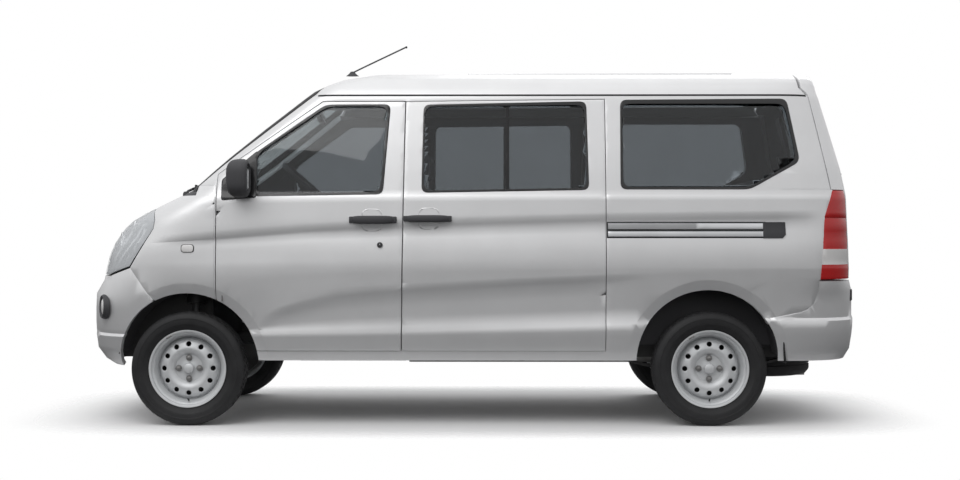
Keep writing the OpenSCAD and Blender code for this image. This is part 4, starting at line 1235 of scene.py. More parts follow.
@dataclass
class Nose:
    """Wings, bonnet, bumper, grille and lamps."""

    def build(self) -> None:
        """Makes the whole front end."""
        wing = [(WING_REAR - 0.001, 0.600), (WING_REAR - 0.001, 1.244), (-1.424, 1.244), (-1.425, 1.192),
                (-1.672, 1.192)] + list(reversed(LAMP_LINE)) + metres((-1762, 816), (-1640, 652))
        wing = [(x, z) for x, z in wing]
        skin = FORM.grid(0.0)
        cut(skin, wing)
        cut(skin, [(x, y - 0.004 if y < 0 else y) for x, y in BONNET_PLAN], axis=2, keep=False)
        wheel_arch(skin, FRONT_ARCH)
        piece("wing_skins", both(skin), (PAINT,), "root", ("front_wings",), thickness=0.020,
              bevel=0.002)
        self.bonnet()
        self.bumper()
        self.grille()
        self.headlights()
        self.repeaters()

    @staticmethod
    def bonnet() -> None:
        """Makes the bonnet with its two pressed lines."""
        skin = FORM.grid(0.0)
        cut(skin, [(-2.1, 0.930), (-1.3, 0.930), (-1.3, 1.182), (-2.1, 1.182)])
        cut(skin, [(-2.2, -0.461), (FRONT_X + 0.1, -0.504), (FRONT_X + 0.1, 0.2), (-2.2, 0.2)], axis=2)
        for vert in skin.verts:
            side = abs(abs(vert.co.y) - 0.33)
            if side < 0.05:
                vert.co.z += 0.006 * (1.0 - side / 0.05)
        # The bonnet wall's inner face is near black: painted shade for the dark under the bonnet.
        piece("bonnet_skin", both(skin), (PAINT, PAINTED_SHADE), "bonnet", ("bonnet",), thickness=0.016,
              inner=1, bevel=0.002)

    @staticmethod
    def bumper() -> None:
        """Makes the front bumper with its intake, ledge and fog lamps."""
        shape = [(NOSE_X - 0.05, 0.292), (-1.6404, 0.292), (-1.6404, 0.652), (-1.7624, 0.816),
                 (-1.895, 0.771), (NOSE_X - 0.05, 0.771)]
        skin = FORM.panel(shape, arches=False)
        wheel_arch(skin, FRONT_ARCH, flare=False)
        cut(skin, rounded(metres((-400, 368), (0, 368), (400, 368), (370, 462), (0, 462), (-370, 462)), 0.02),
            axis=0, keep=False)
        piece("front_bumper_skin", both(skin), (PAINT,), "root", ("front_bumper",),
              thickness=0.020, bevel=0.003)
        mesh = FORM.panel(metres((-2100, 360), (-1800, 360), (-1800, 470), (-2100, 470)), 0.032)
        cut(mesh, metres((-420, 355), (10, 355), (10, 475), (-420, 475)), axis=0)
        piece("intake_mesh", both(mesh), (BLACK,), "root", thickness=0.006)
        for z in (0.392, 0.416, 0.440):
            slat = FORM.panel([(-2.1, z - 0.005), (-1.8, z - 0.005), (-1.8, z + 0.005), (-2.1, z + 0.005)], 0.012)
            cut(slat, [(-0.40, z - 0.01), (0.01, z - 0.01), (0.01, z + 0.01), (-0.40, z + 0.01)], axis=0)
            piece(f"intake_slat_{round(z * 1000)}", both(slat), (BLACK,), "root",
                  thickness=0.018, bevel=0.001)
        plate = block((NOSE_X - 0.008, -0.165, 0.520), (NOSE_X + 0.004, 0.165, 0.632), 0.004)
        face = max(plate.faces, key=lambda f: -f.calc_center_median().x * 10 - abs(f.normal.y) + f.calc_area())
        bmesh.ops.inset_region(plate, faces=[face], thickness=0.008, depth=-0.0015)
        face.material_index = 1
        piece("front_plate", plate, (BLACK, Finish("blank_plate", (0.8, 0.8, 0.78), 0.4)), "root")
        for sign in (-1, 1):
            side = "left" if sign < 0 else "right"
            where = surface_point(-1.925, 0.612, 0.0)
            lamp = spun([(0.0, 0.012), (0.030, 0.010), (0.046, 0.002), (0.048, -0.004), (0.0, -0.004)], 48)
            ring = spun([(0.048, -0.004), (0.050, 0.010), (0.058, 0.012), (0.064, 0.002), (0.064, -0.02),
                         (0.048, -0.02)], 48, closed=True)
            turn = Matrix.Translation(where) @ Vector((-0.90, -0.43, 0.02)).to_track_quat("Z", "Y").to_matrix(
            ).to_4x4()
            join(ring, painted(lamp, 1))
            bm = turned(ring, turn)
            bm = bm if sign < 0 else mirrored(bm)
            piece(f"fog_lamp_{side}", bm, (BLACK, WHITE_LENS), "root")

    @staticmethod
    def grille() -> None:
        """Makes the grille's back, a dark sheet of painted shade, with its slats and its frame."""
        # A near-black sheet behind the slats: painted shade for the dark inside the grille opening.
        back = FORM.panel(metres((-2100, 775), (-1700, 775), (-1700, 923), (-2100, 923)), 0.026)
        cut(back, metres((-444, 770), (10, 770), (10, 930), (-444, 930)), axis=0)
        piece("grille_shade_back", both(back), (PAINTED_SHADE,), "root", ("front_grille",), thickness=0.006)
        for index, (low, high) in enumerate(((0.776, 0.788), (0.808, 0.824), (0.848, 0.864), (0.888, 0.924))):
            slat = FORM.panel([(-2.1, low), (-1.7, low), (-1.7, high), (-2.1, high)], 0.003)
            cut(slat, [(-0.443, low - 0.01), (0.01, low - 0.01), (0.01, high + 0.01), (-0.443, high + 0.01)],
                axis=0)
            piece(f"grille_slat_{index}", both(slat), (BLACK if index < 3 else PAINT,), "root",
                  thickness=0.018, bevel=0.002)

    @staticmethod
    def lamp_region(bm: bmesh.types.BMesh, shrink: float = 0.0) -> None:
        """Cuts a sheet down to the shape of a headlight.

        Args:
            bm: The sheet.
            shrink: How far to stay inside the lamp's outline.
        """
        s = shrink
        cut(bm, [(-2.12, 0.777 + s), (-1.918, 0.777 + s), (-1.768 - s, 0.826 + s), (-1.644 - s, 1.019),
                 (-1.639 - s, 1.066), (-1.665 - s, 1.128 - s), (-2.12, 1.128 - s)])
        cut(bm, [(-2.2, -0.469 - s), (FRONT_X + 0.1, -0.512 - s), (FRONT_X + 0.1, 0.2), (-2.2, 0.2)], axis=2,
            keep=False)

    def headlights(self) -> None:
        """Makes the clear headlights with bowls, bulbs and housings."""
        lens = FORM.grid(0.0)
        self.lamp_region(lens)
        piece("headlight_lenses", both(lens), (LENS,), "root", ("headlights",), thickness=0.003,
              bevel=0.0008)
        shell = FORM.grid(0.085)
        cut(shell, [(-2.12, 0.770), (-1.60, 0.770), (-1.60, 1.135), (-2.12, 1.135)])
        cut(shell, [(-2.2, -0.40), (-1.5, -0.44), (-1.5, 0.2), (-2.2, 0.2)], axis=2, keep=False)
        piece("headlight_backs", both(shell), (BEZEL,), "root", thickness=0.004)
        front = []
        for z in (0.788, 0.85, 0.92, 0.99, 1.05, 1.09, 1.118):
            spots = [FORM.outline(i / 80, z, 0.008) for i in range(81)]
            front.append(min(spots, key=lambda p: abs(p.y + 0.478)))
        # Real side walls of the lamp, given the near-black painted shade finish for the shade inside the lamp.
        wall = prism([(p.x, p.z) for p in front] + [(p.x + 0.17, p.z) for p in reversed(front)], -0.477, -0.471)
        piece("headlight_walls", both(wall), (PAINTED_SHADE,), "root", bevel=0.001)
        for name, shift, wide in (("front", 0.0, 0.022), ("middle", 0.055, 0.012), ("rear", 0.105, 0.030)):
            strip = FORM.panel([(-1.955 + shift, 0.790), (-1.955 + shift + wide, 0.790), (-1.79 + shift, 0.98),
                                (-1.70 + shift * 0.4, 1.10), (-1.70 + shift * 0.4 - wide, 1.10),
                                (-1.79 + shift - wide, 0.98)], 0.022)
            self.lamp_region(strip, 0.022)
            piece(f"headlight_trim_{name}", both(strip), (REFLECTOR,), "root", thickness=0.004,
                  bevel=0.0012)
        rim = FORM.grid(0.006)
        self.lamp_region(rim, 0.001)
        inner = FORM.grid(0.006)
        self.lamp_region(inner, 0.020)
        keep = {tuple(round(c, 4) for c in f.calc_center_median()) for f in inner.faces}
        inner.free()
        drop = [f for f in rim.faces if tuple(round(c, 4) for c in f.calc_center_median()) in keep]
        bmesh.ops.delete(rim, geom=drop, context="FACES")
        piece("headlight_bezels", both(rim), (BEZEL,), "root", thickness=0.030, bevel=0.002)
        aim = Vector((-0.93, -0.30, 0.18)).to_track_quat("Z", "Y").to_matrix().to_4x4()
        for name, radius, x, z, shade in (("main", 0.062, -1.862, 0.935, REFLECTOR),
                                          ("side", 0.040, -1.775, 1.015, REFLECTOR),
                                          ("flash", 0.030, -1.745, 0.905, REFLECTOR)):
            profile = [(radius + 0.006, 0.004), (radius + 0.006, 0.010), (radius, 0.010)]
            profile += [(radius * math.cos(a), -0.045 * math.sin(a) * radius / 0.062 + 0.004)
                        for a in [i * math.pi / 2 / 9 for i in range(10)]]
            profile[-1] = (0.0, profile[-1][1])
            bowl = spun(profile, 48)
            bulb = spun([(0.0, 0.004), (0.006, 0.002), (0.009, -0.008), (0.009, -0.030), (0.0, -0.030)], 24)
            join(bowl, painted(bulb, 1))
            where = surface_point(x, z, 0.030)
            place = turned(bowl, Matrix.Translation(where) @ aim)
            piece(f"headlight_{name}_bowls", both(place),
                  (shade, AMBER if name == "flash" else WHITE_LENS), "root", thickness=0.0015)

    @staticmethod
    def repeaters() -> None:
        """Makes the small side repeater lamps on the wings."""
        ring = FORM.panel(rounded(metres((-1490, 897), (-1422, 897), (-1422, 939), (-1490, 939)), 0.016, 6),
                          -0.002)
        piece("repeater_bezels", both(ring), (BLACK,), "root", thickness=0.006, bevel=0.001)
        lens = FORM.panel(rounded(metres((-1486, 900), (-1426, 900), (-1426, 936), (-1486, 936)), 0.015, 6),
                          -0.006)
        piece("repeater_lenses", both(lens), (WHITE_LENS,), "root", thickness=0.004, bevel=0.0015)


@dataclass
class Tail:
    """Rear bumper, lamps and tailgate."""

    lamp_inner: float = 0.640

    def build(self) -> None:
        """Makes the whole rear end."""
        shape = [(TAIL_X + 0.05, 0.337), (REAR_X + 0.306, 0.337)] + BUMPER_LINE[:-1] + metres((1789, 749)) + [
            (TAIL_X + 0.05, 0.749)]
        skin = FORM.panel(shape)
        wheel_arch(skin, REAR_ARCH)
        piece("rear_bumper_skin", both(skin), (PAINT,), "root", ("rear_bumper",),
              thickness=0.022, bevel=0.003)
        step = FORM.panel(rounded(metres((1900, 640), (2100, 640), (2100, 700), (1900, 700)), 0.01), -0.004)
        cut(step, metres((-600, 600), (10, 600), (10, 720), (-600, 720)), axis=0)
        piece("rear_bumper_pad", both(step), (BLACK,), "root", thickness=0.010, bevel=0.003)
        self.lamps()
        self.tailgate()

    def lamps(self) -> None:
        """Makes the tall tail-lights."""
        shape = metres((1794, 757), (1819, 1083), (1868, 1217), (2100, 1217), (2100, 757))
        lens = FORM.panel(shape, -0.001)
        cut(lens, [(-0.9, 0.70), (-self.lamp_inner, 0.70), (-self.lamp_inner, 1.24), (-0.9, 1.24)], axis=0)
        for z in (0.835, 0.915, 0.995, 1.075):
            geom = list(lens.faces) + list(lens.edges) + list(lens.verts)
            bmesh.ops.bisect_plane(lens, geom=geom, dist=1e-5, plane_co=(0, 0, z), plane_no=(0, 0, 1))
        for face in lens.faces:
            z = face.calc_center_median().z
            face.material_index = 1 if 0.835 < z < 0.915 else (2 if 0.995 < z < 1.075 else 0)
        for vert in lens.verts:
            if any(abs(vert.co.z - z) < 0.0005 for z in (0.835, 0.915, 0.995, 1.075)):
                vert.co.x -= 0.0025
                vert.co.y += 0.0025
        piece("tail_light_lenses", both(lens), (RED, WHITE_LENS, RED), "root", ("tail_lights",),
              thickness=0.020, bevel=0.002)
        lamp = FORM.panel(shape, 0.021)
        cut(lamp, [(-0.9, 0.70), (-self.lamp_inner, 0.70), (-self.lamp_inner, 1.24), (-0.9, 1.24)], axis=0)
        piece("tail_light_cases", both(lamp), (BLACK,), "root", thickness=0.03)

    def tailgate(self) -> None:
        """Makes the tailgate with its window, handle, wiper and number plate."""
        skin = FORM.grid(0.0)
        cut(skin, [(1.60, 0.757), (2.10, 0.757), (2.10, 1.90), (1.731, 1.90), (1.731, 1.76), (1.766, 1.721),
                   (1.862, 1.224), (1.60, 1.224)])
        inner = self.lamp_inner - 0.006
        cut(skin, [(-0.9, 0.70), (-inner, 0.70), (-inner, 1.222), (-0.9, 1.222)], axis=0, keep=False)
        cut(skin,
            [(-0.530, 1.270), (0.02, 1.270), (0.02, 1.700), (-0.488, 1.700), (-0.515, 1.672), (-0.556, 1.310)],
            axis=0, keep=False)
        plate_hole = [(-0.27, 0.842), (0.02, 0.842), (0.02, 1.020), (-0.27, 1.020)]
        cut(skin, plate_hole, axis=0, keep=False)
        piece("tailgate_skin", both(skin), (PAINT, CABIN), "tailgate", ("tailgate",),
              thickness=0.040, inner=1, bevel=0.0025)
        recess = FORM.grid(0.024)
        cut(recess, [(1.80, 0.83), (2.10, 0.83), (2.10, 1.03), (1.80, 1.03)])
        cut(recess, [(-0.276, 0.82), (0.02, 0.82), (0.02, 1.04), (-0.276, 1.04)], axis=0)
        piece("plate_recess", both(recess), (PAINT,), "tailgate", thickness=0.004)
        pane = FORM.grid(0.010)
        cut(pane, [(1.60, 1.24), (2.10, 1.24), (2.10, 1.72), (1.60, 1.72)])
        cut(pane, [(-0.545, 1.264), (0.02, 1.264), (0.02, 1.706), (-0.495, 1.706)], axis=0)
        piece("tailgate_pane", both(pane), (TINT,), "tailgate", ("tailgate_glass",), thickness=0.0045)
        frame_ring = FORM.grid(0.0045)
        cut(frame_ring, [(1.60, 1.24), (2.10, 1.24), (2.10, 1.73), (1.60, 1.73)])
        cut(frame_ring, [(-0.566, 1.258), (0.02, 1.258), (0.02, 1.712), (-0.50, 1.712)], axis=0)
        cut(frame_ring, [(-0.513, 1.288), (0.02, 1.288), (0.02, 1.682), (-0.474, 1.682)], axis=0, keep=False)
        piece("tailgate_pane_frame", both(frame_ring), (GLOSS_BLACK,), "tailgate",
              thickness=0.012, bevel=0.0015)
        grip = FORM.grid(-0.010)
        cut(grip, [(1.80, 1.022), (2.10, 1.022), (2.10, 1.066), (1.80, 1.066)])
        cut(grip, [(-0.30, 1.0), (0.02, 1.0), (0.02, 1.1), (-0.30, 1.1)], axis=0)
        piece("tailgate_grip", both(grip), (PAINT,), "tailgate", thickness=0.030, bevel=0.006)
        x = FORM.tail(0.93) + 0.0
        plate = block((x - 0.022, -0.165, 0.872), (x - 0.014, 0.165, 0.985), 0.0025)
        piece("rear_plate", plate, (Finish("blank_plate", (0.8, 0.8, 0.78), 0.4),), "tailgate")
        hub = turned(spun([(0.0, 0.022), (0.014, 0.020), (0.020, 0.008), (0.022, 0.0), (0.0, 0.0)], 32),
                     Matrix.Translation((FORM.tail(1.235) - 0.004, 0.0, 1.235)) @ Matrix.Rotation(
                         math.pi / 2, 4, "Y"))
        piece("rear_wiper_hub", hub, (BLACK,), "tailgate")
        arm = [(FORM.tail(z) + 0.012, y, z) for y, z in ((0.0, 1.235), (-0.12, 1.250), (-0.26, 1.290))]
        piece("rear_wiper_arm", rod(arm, 0.006, 10), (BLACK,), "tailgate", bevel=0.001)
        blade = [(FORM.tail(1.27 + 0.04 * i / 8) + 0.004 - 0.03 * abs(-0.10 - 0.32 * i / 8) ** 2,
                  -0.10 - 0.32 * i / 8, 1.280 + 0.035 * i / 8) for i in range(9)]
        piece("rear_wiper_blade", rod(blade, 0.005, 8), (SEAL,), "tailgate")


@dataclass
class Roof:
    """The roof with its ribs, aerial, windscreen, cowl and wipers."""

    ribs: tuple[float, ...] = (0.13, 0.27, 0.41)

    def build(self) -> None:
        """Makes the roof, the windscreen and what sits on them."""
        skin = FORM.grid(0.0)
        cut(skin, [(-0.822, GUTTER + 0.001), (-0.812, 1.7243), (-0.7735, 1.7755), (-0.849, 1.851), (-0.85, 1.95),
                   (1.715, 1.95), (1.715, 1.76), (1.7518, GUTTER + 0.001)])
        piece("roof_skin", both(skin), (PAINT, LINING), "root", ("roof_panel",), thickness=0.022,
              inner=1, bevel=0.002)
        self.rib_strips()
        self.gutters()
        self.aerial()
        self.windscreen()
        self.cowl()

    @staticmethod
    def top(y: float) -> float:
        """Height of the straight part of the roof at a distance from the middle."""
        low, high = GUTTER, 1.873
        for _ in range(30):
            middle = (low + high) / 2
            if FORM.half_width(middle) > abs(y):
                low = middle
            else:
                high = middle
        return low

    def rib_strips(self) -> None:
        """Makes the lengthwise ribs pressed into the roof."""
        bm = bmesh.new()
        for y in [s * r for r in self.ribs for s in (-1, 1)]:
            z = self.top(y)
            strip_mesh = block((-0.02, y - 0.022, z - 0.006), (1.40, y + 0.022, z + 0.0085), 0.005, 3)
            lean = math.atan2(self.top(abs(y) + 0.02) - self.top(abs(y) - 0.02), 0.04)
            pivot = Matrix.Translation((0, y, z))
            turned(strip_mesh, pivot @ Matrix.Rotation(math.copysign(1, y) * lean, 4, "X") @ pivot.inverted())
            join(bm, strip_mesh)
        piece("roof_ribs", bm, (PAINT,), "root")

    @staticmethod
    def gutters() -> None:
        """Makes the dark gutter lines between the roof and the sides."""
        line = FORM.panel([(-0.80, 1.7115), (1.752, 1.7115), (1.748, 1.7205), (-0.80, 1.7205)], -0.0012)
        piece("gutter_strips", both(line), (SEAL,), "root", thickness=0.003, bevel=0.001)

    @staticmethod
    def aerial() -> None:
        """Makes the raked aerial on the left edge of the roof."""
        _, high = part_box("aerial")
        z = Roof.top(0.35)
        base = spun([(0.0, 0.026), (0.008, 0.024), (0.012, 0.016), (0.020, 0.006), (0.026, 0.0), (0.0, 0.0)], 32)
        bmesh.ops.scale(base, vec=(1.35, 0.7, 1.0), verts=base.verts)
        bmesh.ops.translate(base, vec=(-0.650, -0.350, z - 0.004), verts=base.verts)
        mast = rod([(-0.650, -0.350, z + 0.014), (-0.58, -0.350, z + 0.048),
                    (high.x - 0.006, -0.350, high.z - 0.004)], 0.0042, 12)
        tip = turned(spun([(0.0, 0.007), (0.004, 0.006), (0.0058, 0.002), (0.0058, -0.004), (0.0, -0.006)], 16),
                     Matrix.Translation((high.x - 0.006, -0.350, high.z - 0.006)))
        join(base, mast)
        join(base, tip)
        piece("aerial_mast", base, (BLACK,), "root", ("aerial",))

    @staticmethod
    def windscreen() -> None:
        """Makes the windscreen, its dark border and the interior mirror."""
        outline = [(-2.1, 1.214), (-1.438, 1.214), (-1.427, 1.2465), (-1.321, 1.3315), (-0.819, 1.7255),
                   (-0.782, 1.776), (-0.853, 1.847), (-2.1, 1.847)]
        pane = FORM.grid(0.004)
        cut(pane, outline)
        piece("windscreen_pane", both(pane), (SCREEN,), "root", ("windscreen",), thickness=0.0055)
        band = FORM.grid(0.0032)
        cut(band, outline)
        cut(band, [(-2.1, 1.214), (-0.5, 1.214), (-0.5, 1.262), (-2.1, 1.262)])
        piece("screen_border", both(band), (GLOSS_BLACK,), "root", thickness=0.0005)
        seal = FORM.grid(0.002)
        cut(seal, [(-1.438, 1.214), (-1.427, 1.2465), (-1.321, 1.3315), (-0.819, 1.7255), (-0.782, 1.776),
                   (-0.853, 1.847), (-0.877, 1.823), (-0.812, 1.771), (-0.842, 1.742), (-1.343, 1.350),
                   (-1.452, 1.262), (-1.463, 1.214)])
        piece("screen_seals", both(seal), (SEAL,), "root", thickness=0.005, bevel=0.001)
        glass = turned(block((-0.012, -0.115, -0.032), (0.012, 0.115, 0.032), 0.010, 4),
                       Matrix.Translation((-0.862, 0.0, 1.652)) @ Matrix.Rotation(math.radians(-12), 4, "Y"))
        for face in glass.faces:
            face.material_index = 1 if face.normal.x > 0.9 and face.calc_area() > 0.002 else 0
        stem = rod([(-0.868, 0.0, 1.665), (-0.855, 0.0, 1.700), (-0.93, 0.0, 1.745)], 0.008, 12)
        join(glass, stem)
        piece("interior_mirror", glass, (BLACK, CHROME), "root")

    @staticmethod
    def cowl() -> None:
        """Makes the black cowl under the windscreen and the two wipers on it."""
        sheet = FORM.grid(0.002)
        cut(sheet, [(-1.75, 1.186), (-1.4255, 1.193), (-1.4255, 1.213), (-1.75, 1.213)])
        piece("cowl_top", both(sheet), (BLACK,), "root", ("cowl_panel",), thickness=0.018,
              bevel=0.002)
        deck = block((-1.55, -0.60, 1.150), (-1.37, 0.60, 1.176), 0.008)
        bmesh.ops.subdivide_edges(deck, edges=[e for e in deck.edges if abs((e.verts[0].co - e.verts[1].co).y)
                                               > 0.5], cuts=24)
        piece("cowl_deck", deck, (BLACK,), "root")
        for index, (root_y, start, end) in enumerate((((-0.42), -0.50, 0.02), ((0.14), 0.02, 0.50))):
            def at(y: float, z: float, out: float) -> Vector:
                point = min((FORM.outline(t / 60, z, -out) for t in range(61)),
                            key=lambda p: abs(abs(p.y) - abs(y)))
                return Vector((point.x, y, z))
            path = [at(root_y, 1.205, 0.012), at(root_y + 0.02, 1.225, 0.030), at((start + end) / 2, 1.266, 0.022)]
            piece(f"wiper_arm_{index}", rod(path, 0.007, 10), (BLACK,), "root", bevel=0.001)
            blade = [at(start + (end - start) * i / 10, 1.235 + 0.062 * i / 10, 0.010) for i in range(11)]
            bm = rod(blade, 0.0055, 8)
            for point in (blade[2], blade[8]):
                join(bm, block(point - Vector((0.012, 0.01, 0.006)), point + Vector((0.0, 0.01, 0.012)), 0.003))
            piece(f"wiper_blade_{index}", bm, (SEAL,), "root")
            cap = turned(spun([(0.0, 0.018), (0.012, 0.016), (0.017, 0.006), (0.018, -0.01), (0.0, -0.01)], 28),
                         Matrix.Translation(at(root_y, 1.205, 0.006)))
            piece(f"wiper_cap_{index}", cap, (BLACK,), "root")


@dataclass
class Wheel:
    """A pressed steel wheel with its tyre, made on the Y axis and placed at one corner."""

    name: str
    centre: Vector
    outer: float
    tyre_radius: float = 0.295
    holes: int = 12

    def build(self) -> None:
        """Makes the tyre and the wheel."""
        self.tyre()
        self.disc()

    def place(self) -> Matrix:
        """Transform from the wheel's own axis to its corner of the car."""
        turn = Matrix.Rotation(math.pi / 2 if self.outer < 0 else -math.pi / 2, 4, "X")
        return Matrix.Translation(self.centre) @ turn

    def tyre(self) -> None:
        """Makes the tyre with sidewall rings, grooves and tread blocks."""
        r = self.tyre_radius - 0.0005
        side = [(0.196, 0.062), (0.203, 0.069), (0.212, 0.0715), (0.216, 0.0735), (0.232, 0.0795),
                (0.2335, 0.0805), (0.236, 0.0802), (0.2375, 0.0812), (0.248, 0.0820), (0.256, 0.0815),
                (0.2575, 0.0828), (0.262, 0.0826), (0.2635, 0.0806), (0.272, 0.0775), (0.281, 0.0725),
                (0.2885, 0.0655), (r - 0.0022, 0.060)]
        grooves = []
        for y in (0.040, 0.014, -0.014, -0.040):
            grooves += [(r, y + 0.0045), (r - 0.008, y + 0.0030), (r - 0.008, y - 0.0030), (r, y - 0.0045)]
        tread = [(r - 0.001, 0.056)] + grooves + [(r - 0.001, -0.056)]
        profile = side + tread + [(a, -b) for a, b in reversed(side)] + [(0.186, -0.055), (0.186, 0.055)]
        steps = 120
        bm = spun(profile, steps, closed=True)
        bands = [f for f in bm.faces if all(math.hypot(v.co.x, v.co.y) > r - 0.0024 for v in f.verts)
                 and abs(f.calc_center_median().z) < 0.060 and f.calc_area() > 4e-5]
        chosen = []
        for face in bands:
            centre = face.calc_center_median()
            index = int(round((math.atan2(centre.y, centre.x) / math.tau) * steps - 0.5)) % steps
            shift = 1 if abs(centre.z) > 0.045 else (2 if abs(centre.z) < 0.01 else 0)
            if (index + shift) % 3 == 0:
                chosen.append(face)
        bmesh.ops.inset_individual(bm, faces=chosen, thickness=0.0022, depth=0.0)
        for face in chosen:
            normal = face.calc_center_median()
            normal.z = 0
            bmesh.ops.translate(bm, vec=-normal.normalized() * 0.0055, verts=face.verts)
        mesh = turned(bm, self.place())
        piece(f"tyre_{self.name}_tread", mesh, (TYRE,), f"wheel_{self.name}", (f"tyre_{self.name}",),
              smooth_angle=28.0)

    def disc(self) -> None:
        """Makes the rim, the pierced disc, the nuts, the cap and the valve."""
        rim = [(0.1985, 0.0665), (0.2010, 0.0705), (0.2005, 0.0735), (0.1965, 0.0740), (0.1900, 0.0715),
               (0.1870, 0.0640), (0.1855, 0.0560), (0.1780, 0.0500), (0.1755, 0.0440), (0.1720, 0.0300),
               (0.1640, 0.0180), (0.1630, -0.0080), (0.1760, -0.0220), (0.1830, -0.0560), (0.1880, -0.0660),
               (0.1985, -0.0700), (0.1985, -0.0665), (0.1900, -0.0610), (0.1870, -0.0540), (0.1800, -0.0230),
               (0.1675, -0.0080), (0.1680, 0.0170), (0.1760, 0.0290), (0.1800, 0.0440), (0.1880, 0.0540),
               (0.1920, 0.0650)]
        bm = spun(rim, 96, closed=True)
        disc = turned(self.pierced(), Matrix.Rotation(math.pi / self.holes, 4, "Z"))
        join(bm, disc)
        for k in range(4):
            angle = math.tau * k / 4
            nut = bmesh.new()
            bmesh.ops.create_cone(nut, cap_ends=True, segments=6, radius1=0.0108, radius2=0.0100, depth=0.016)
            bmesh.ops.bevel(nut, geom=list(nut.edges), offset=0.0014, segments=2, profile=0.5, affect="EDGES",
                            offset_type="OFFSET", material=-1)
            seat = spun([(0.0, 0.0), (0.0150, 0.0), (0.0165, -0.004), (0.0, -0.004)], 24)
            join(nut, seat)
            turned(nut, Matrix.Translation((0.054 * math.cos(angle), 0.054 * math.sin(angle), 0.033)))
            join(bm, painted(nut, 1))
        cap = spun([(0.0, 0.050), (0.016, 0.049), (0.024, 0.045), (0.028, 0.036), (0.029, 0.026), (0.0, 0.026)],
                   48)
        join(bm, painted(cap, 0))
        down = 1.0 if self.outer < 0 else -1.0
        valve = rod([(0.0, -0.168 * down, 0.036), (0.0, -0.160 * down, 0.046), (0.0, -0.157 * down, 0.060)],
                    0.0038, 12)
        join(bm, painted(valve, 2))
        weight = block((0.186, -0.016, 0.066), (0.1935, 0.016, 0.0745), 0.0015)
        join(bm, painted(turned(weight, Matrix.Rotation(2.1, 4, "Z")), 1))
        mesh = turned(bm, self.place())
        piece(f"rim_{self.name}_wheel", mesh, (WHEEL, STEEL, SEAL), f"wheel_{self.name}",
              (f"rim_{self.name}",), smooth_angle=35.0)

    def pierced(self) -> bmesh.types.BMesh:
        """Makes the wheel's disc with a ring of round holes.

        Returns:
            The disc, around the Z axis with its outside facing +Z.
        """
        def level(radius: float) -> float:
            return lookup(radius, ((0.0, 0.026), (0.034, 0.026), (0.040, 0.024), (0.070, 0.024), (0.084, 0.040),
                                   (0.097, 0.048), (0.110, 0.048), (0.141, 0.036), (0.150, 0.020),
                                   (0.160, -0.002), (0.168, -0.004)))
        bm = bmesh.new()
        steps, hole_r, ring_r = 12, 0.0130, 0.127
        radii = [0.0, 0.020, 0.034, 0.040, 0.052, 0.070, 0.077, 0.084, 0.090, 0.097, 0.1040, 0.1060]
        outer = [0.1465, 0.150, 0.156, 0.160, 0.1675]
        fan = steps * self.holes
        rows = []
        for radius in radii[1:] + [0.1060] + outer:
            rows.append([bm.verts.new((radius * math.cos(math.tau * i / fan), radius * math.sin(math.tau * i / fan),
                                       level(radius))) for i in range(fan)])
        centre = bm.verts.new((0, 0, level(0)))
        for i in range(fan):
            bm.faces.new((centre, rows[0][i], rows[0][(i + 1) % fan]))
        split = len(radii) - 1
        for a, b in zip(rows[:split], rows[1:split]):
            for i in range(fan):
                bm.faces.new((a[i], b[i], b[(i + 1) % fan], a[(i + 1) % fan]))
        for a, b in zip(rows[split + 1:], rows[split + 2:]):
            for i in range(fan):
                bm.faces.new((a[i], b[i], b[(i + 1) % fan], a[(i + 1) % fan]))
        for vert in rows[split]:
            bm.verts.remove(vert)
        low_row, high_row = rows[split - 1], rows[split + 1]
        columns: dict[tuple[int, float], bmesh.types.BMVert] = {}
        for k in range(self.holes):
            mid = math.tau * (k + 0.5) / self.holes
            spot = Vector((ring_r * math.cos(mid), ring_r * math.sin(mid), 0.0))
            bound = [low_row[(k * steps + i) % fan] for i in range(steps + 1)]
            top = [high_row[(k * steps + i) % fan] for i in range(steps + 1)]
            sides = []
            for edge_index in (0, steps):
                angle = math.tau * (k * steps + edge_index) / fan
                key = (k * steps + edge_index) % fan
                column = []
                for s in (0.2, 0.4, 0.6, 0.8):
                    radius = 0.1060 + (0.1465 - 0.1060) * s
                    if (key, s) not in columns:
                        columns[(key, s)] = bm.verts.new((radius * math.cos(angle), radius * math.sin(angle),
                                                          level(radius)))
                    column.append(columns[(key, s)])
                sides.append(column)
            loop = bound + sides[1] + list(reversed(top)) + list(reversed(sides[0]))
            rings = [loop]
            for radius, drop in ((hole_r + 0.0045, 0.0), (hole_r + 0.0015, 0.0008), (hole_r, 0.0028),
                                 (hole_r, 0.0070)):
                ring = []
                for vert in loop:
                    away = (vert.co - spot)
                    away.z = 0
                    away.normalize()
                    point = spot + away * radius
                    ring.append(bm.verts.new((point.x, point.y, level(math.hypot(point.x, point.y)) - drop)))
                rings.append(ring)
            for a, b in zip(rings, rings[1:]):
                for i in range(len(loop)):
                    j = (i + 1) % len(loop)
                    bm.faces.new((a[i], a[j], b[j], b[i]))
        bmesh.ops.recalc_face_normals(bm, faces=bm.faces)
        top_face = min(bm.faces, key=lambda f: (f.calc_center_median() - Vector((0.02, 0, 0.026))).length)
        if top_face.normal.z < 0:
            bmesh.ops.reverse_faces(bm, faces=bm.faces)
        bmesh.ops.solidify(bm, geom=list(bm.faces), thickness=0.0035)
        return bm


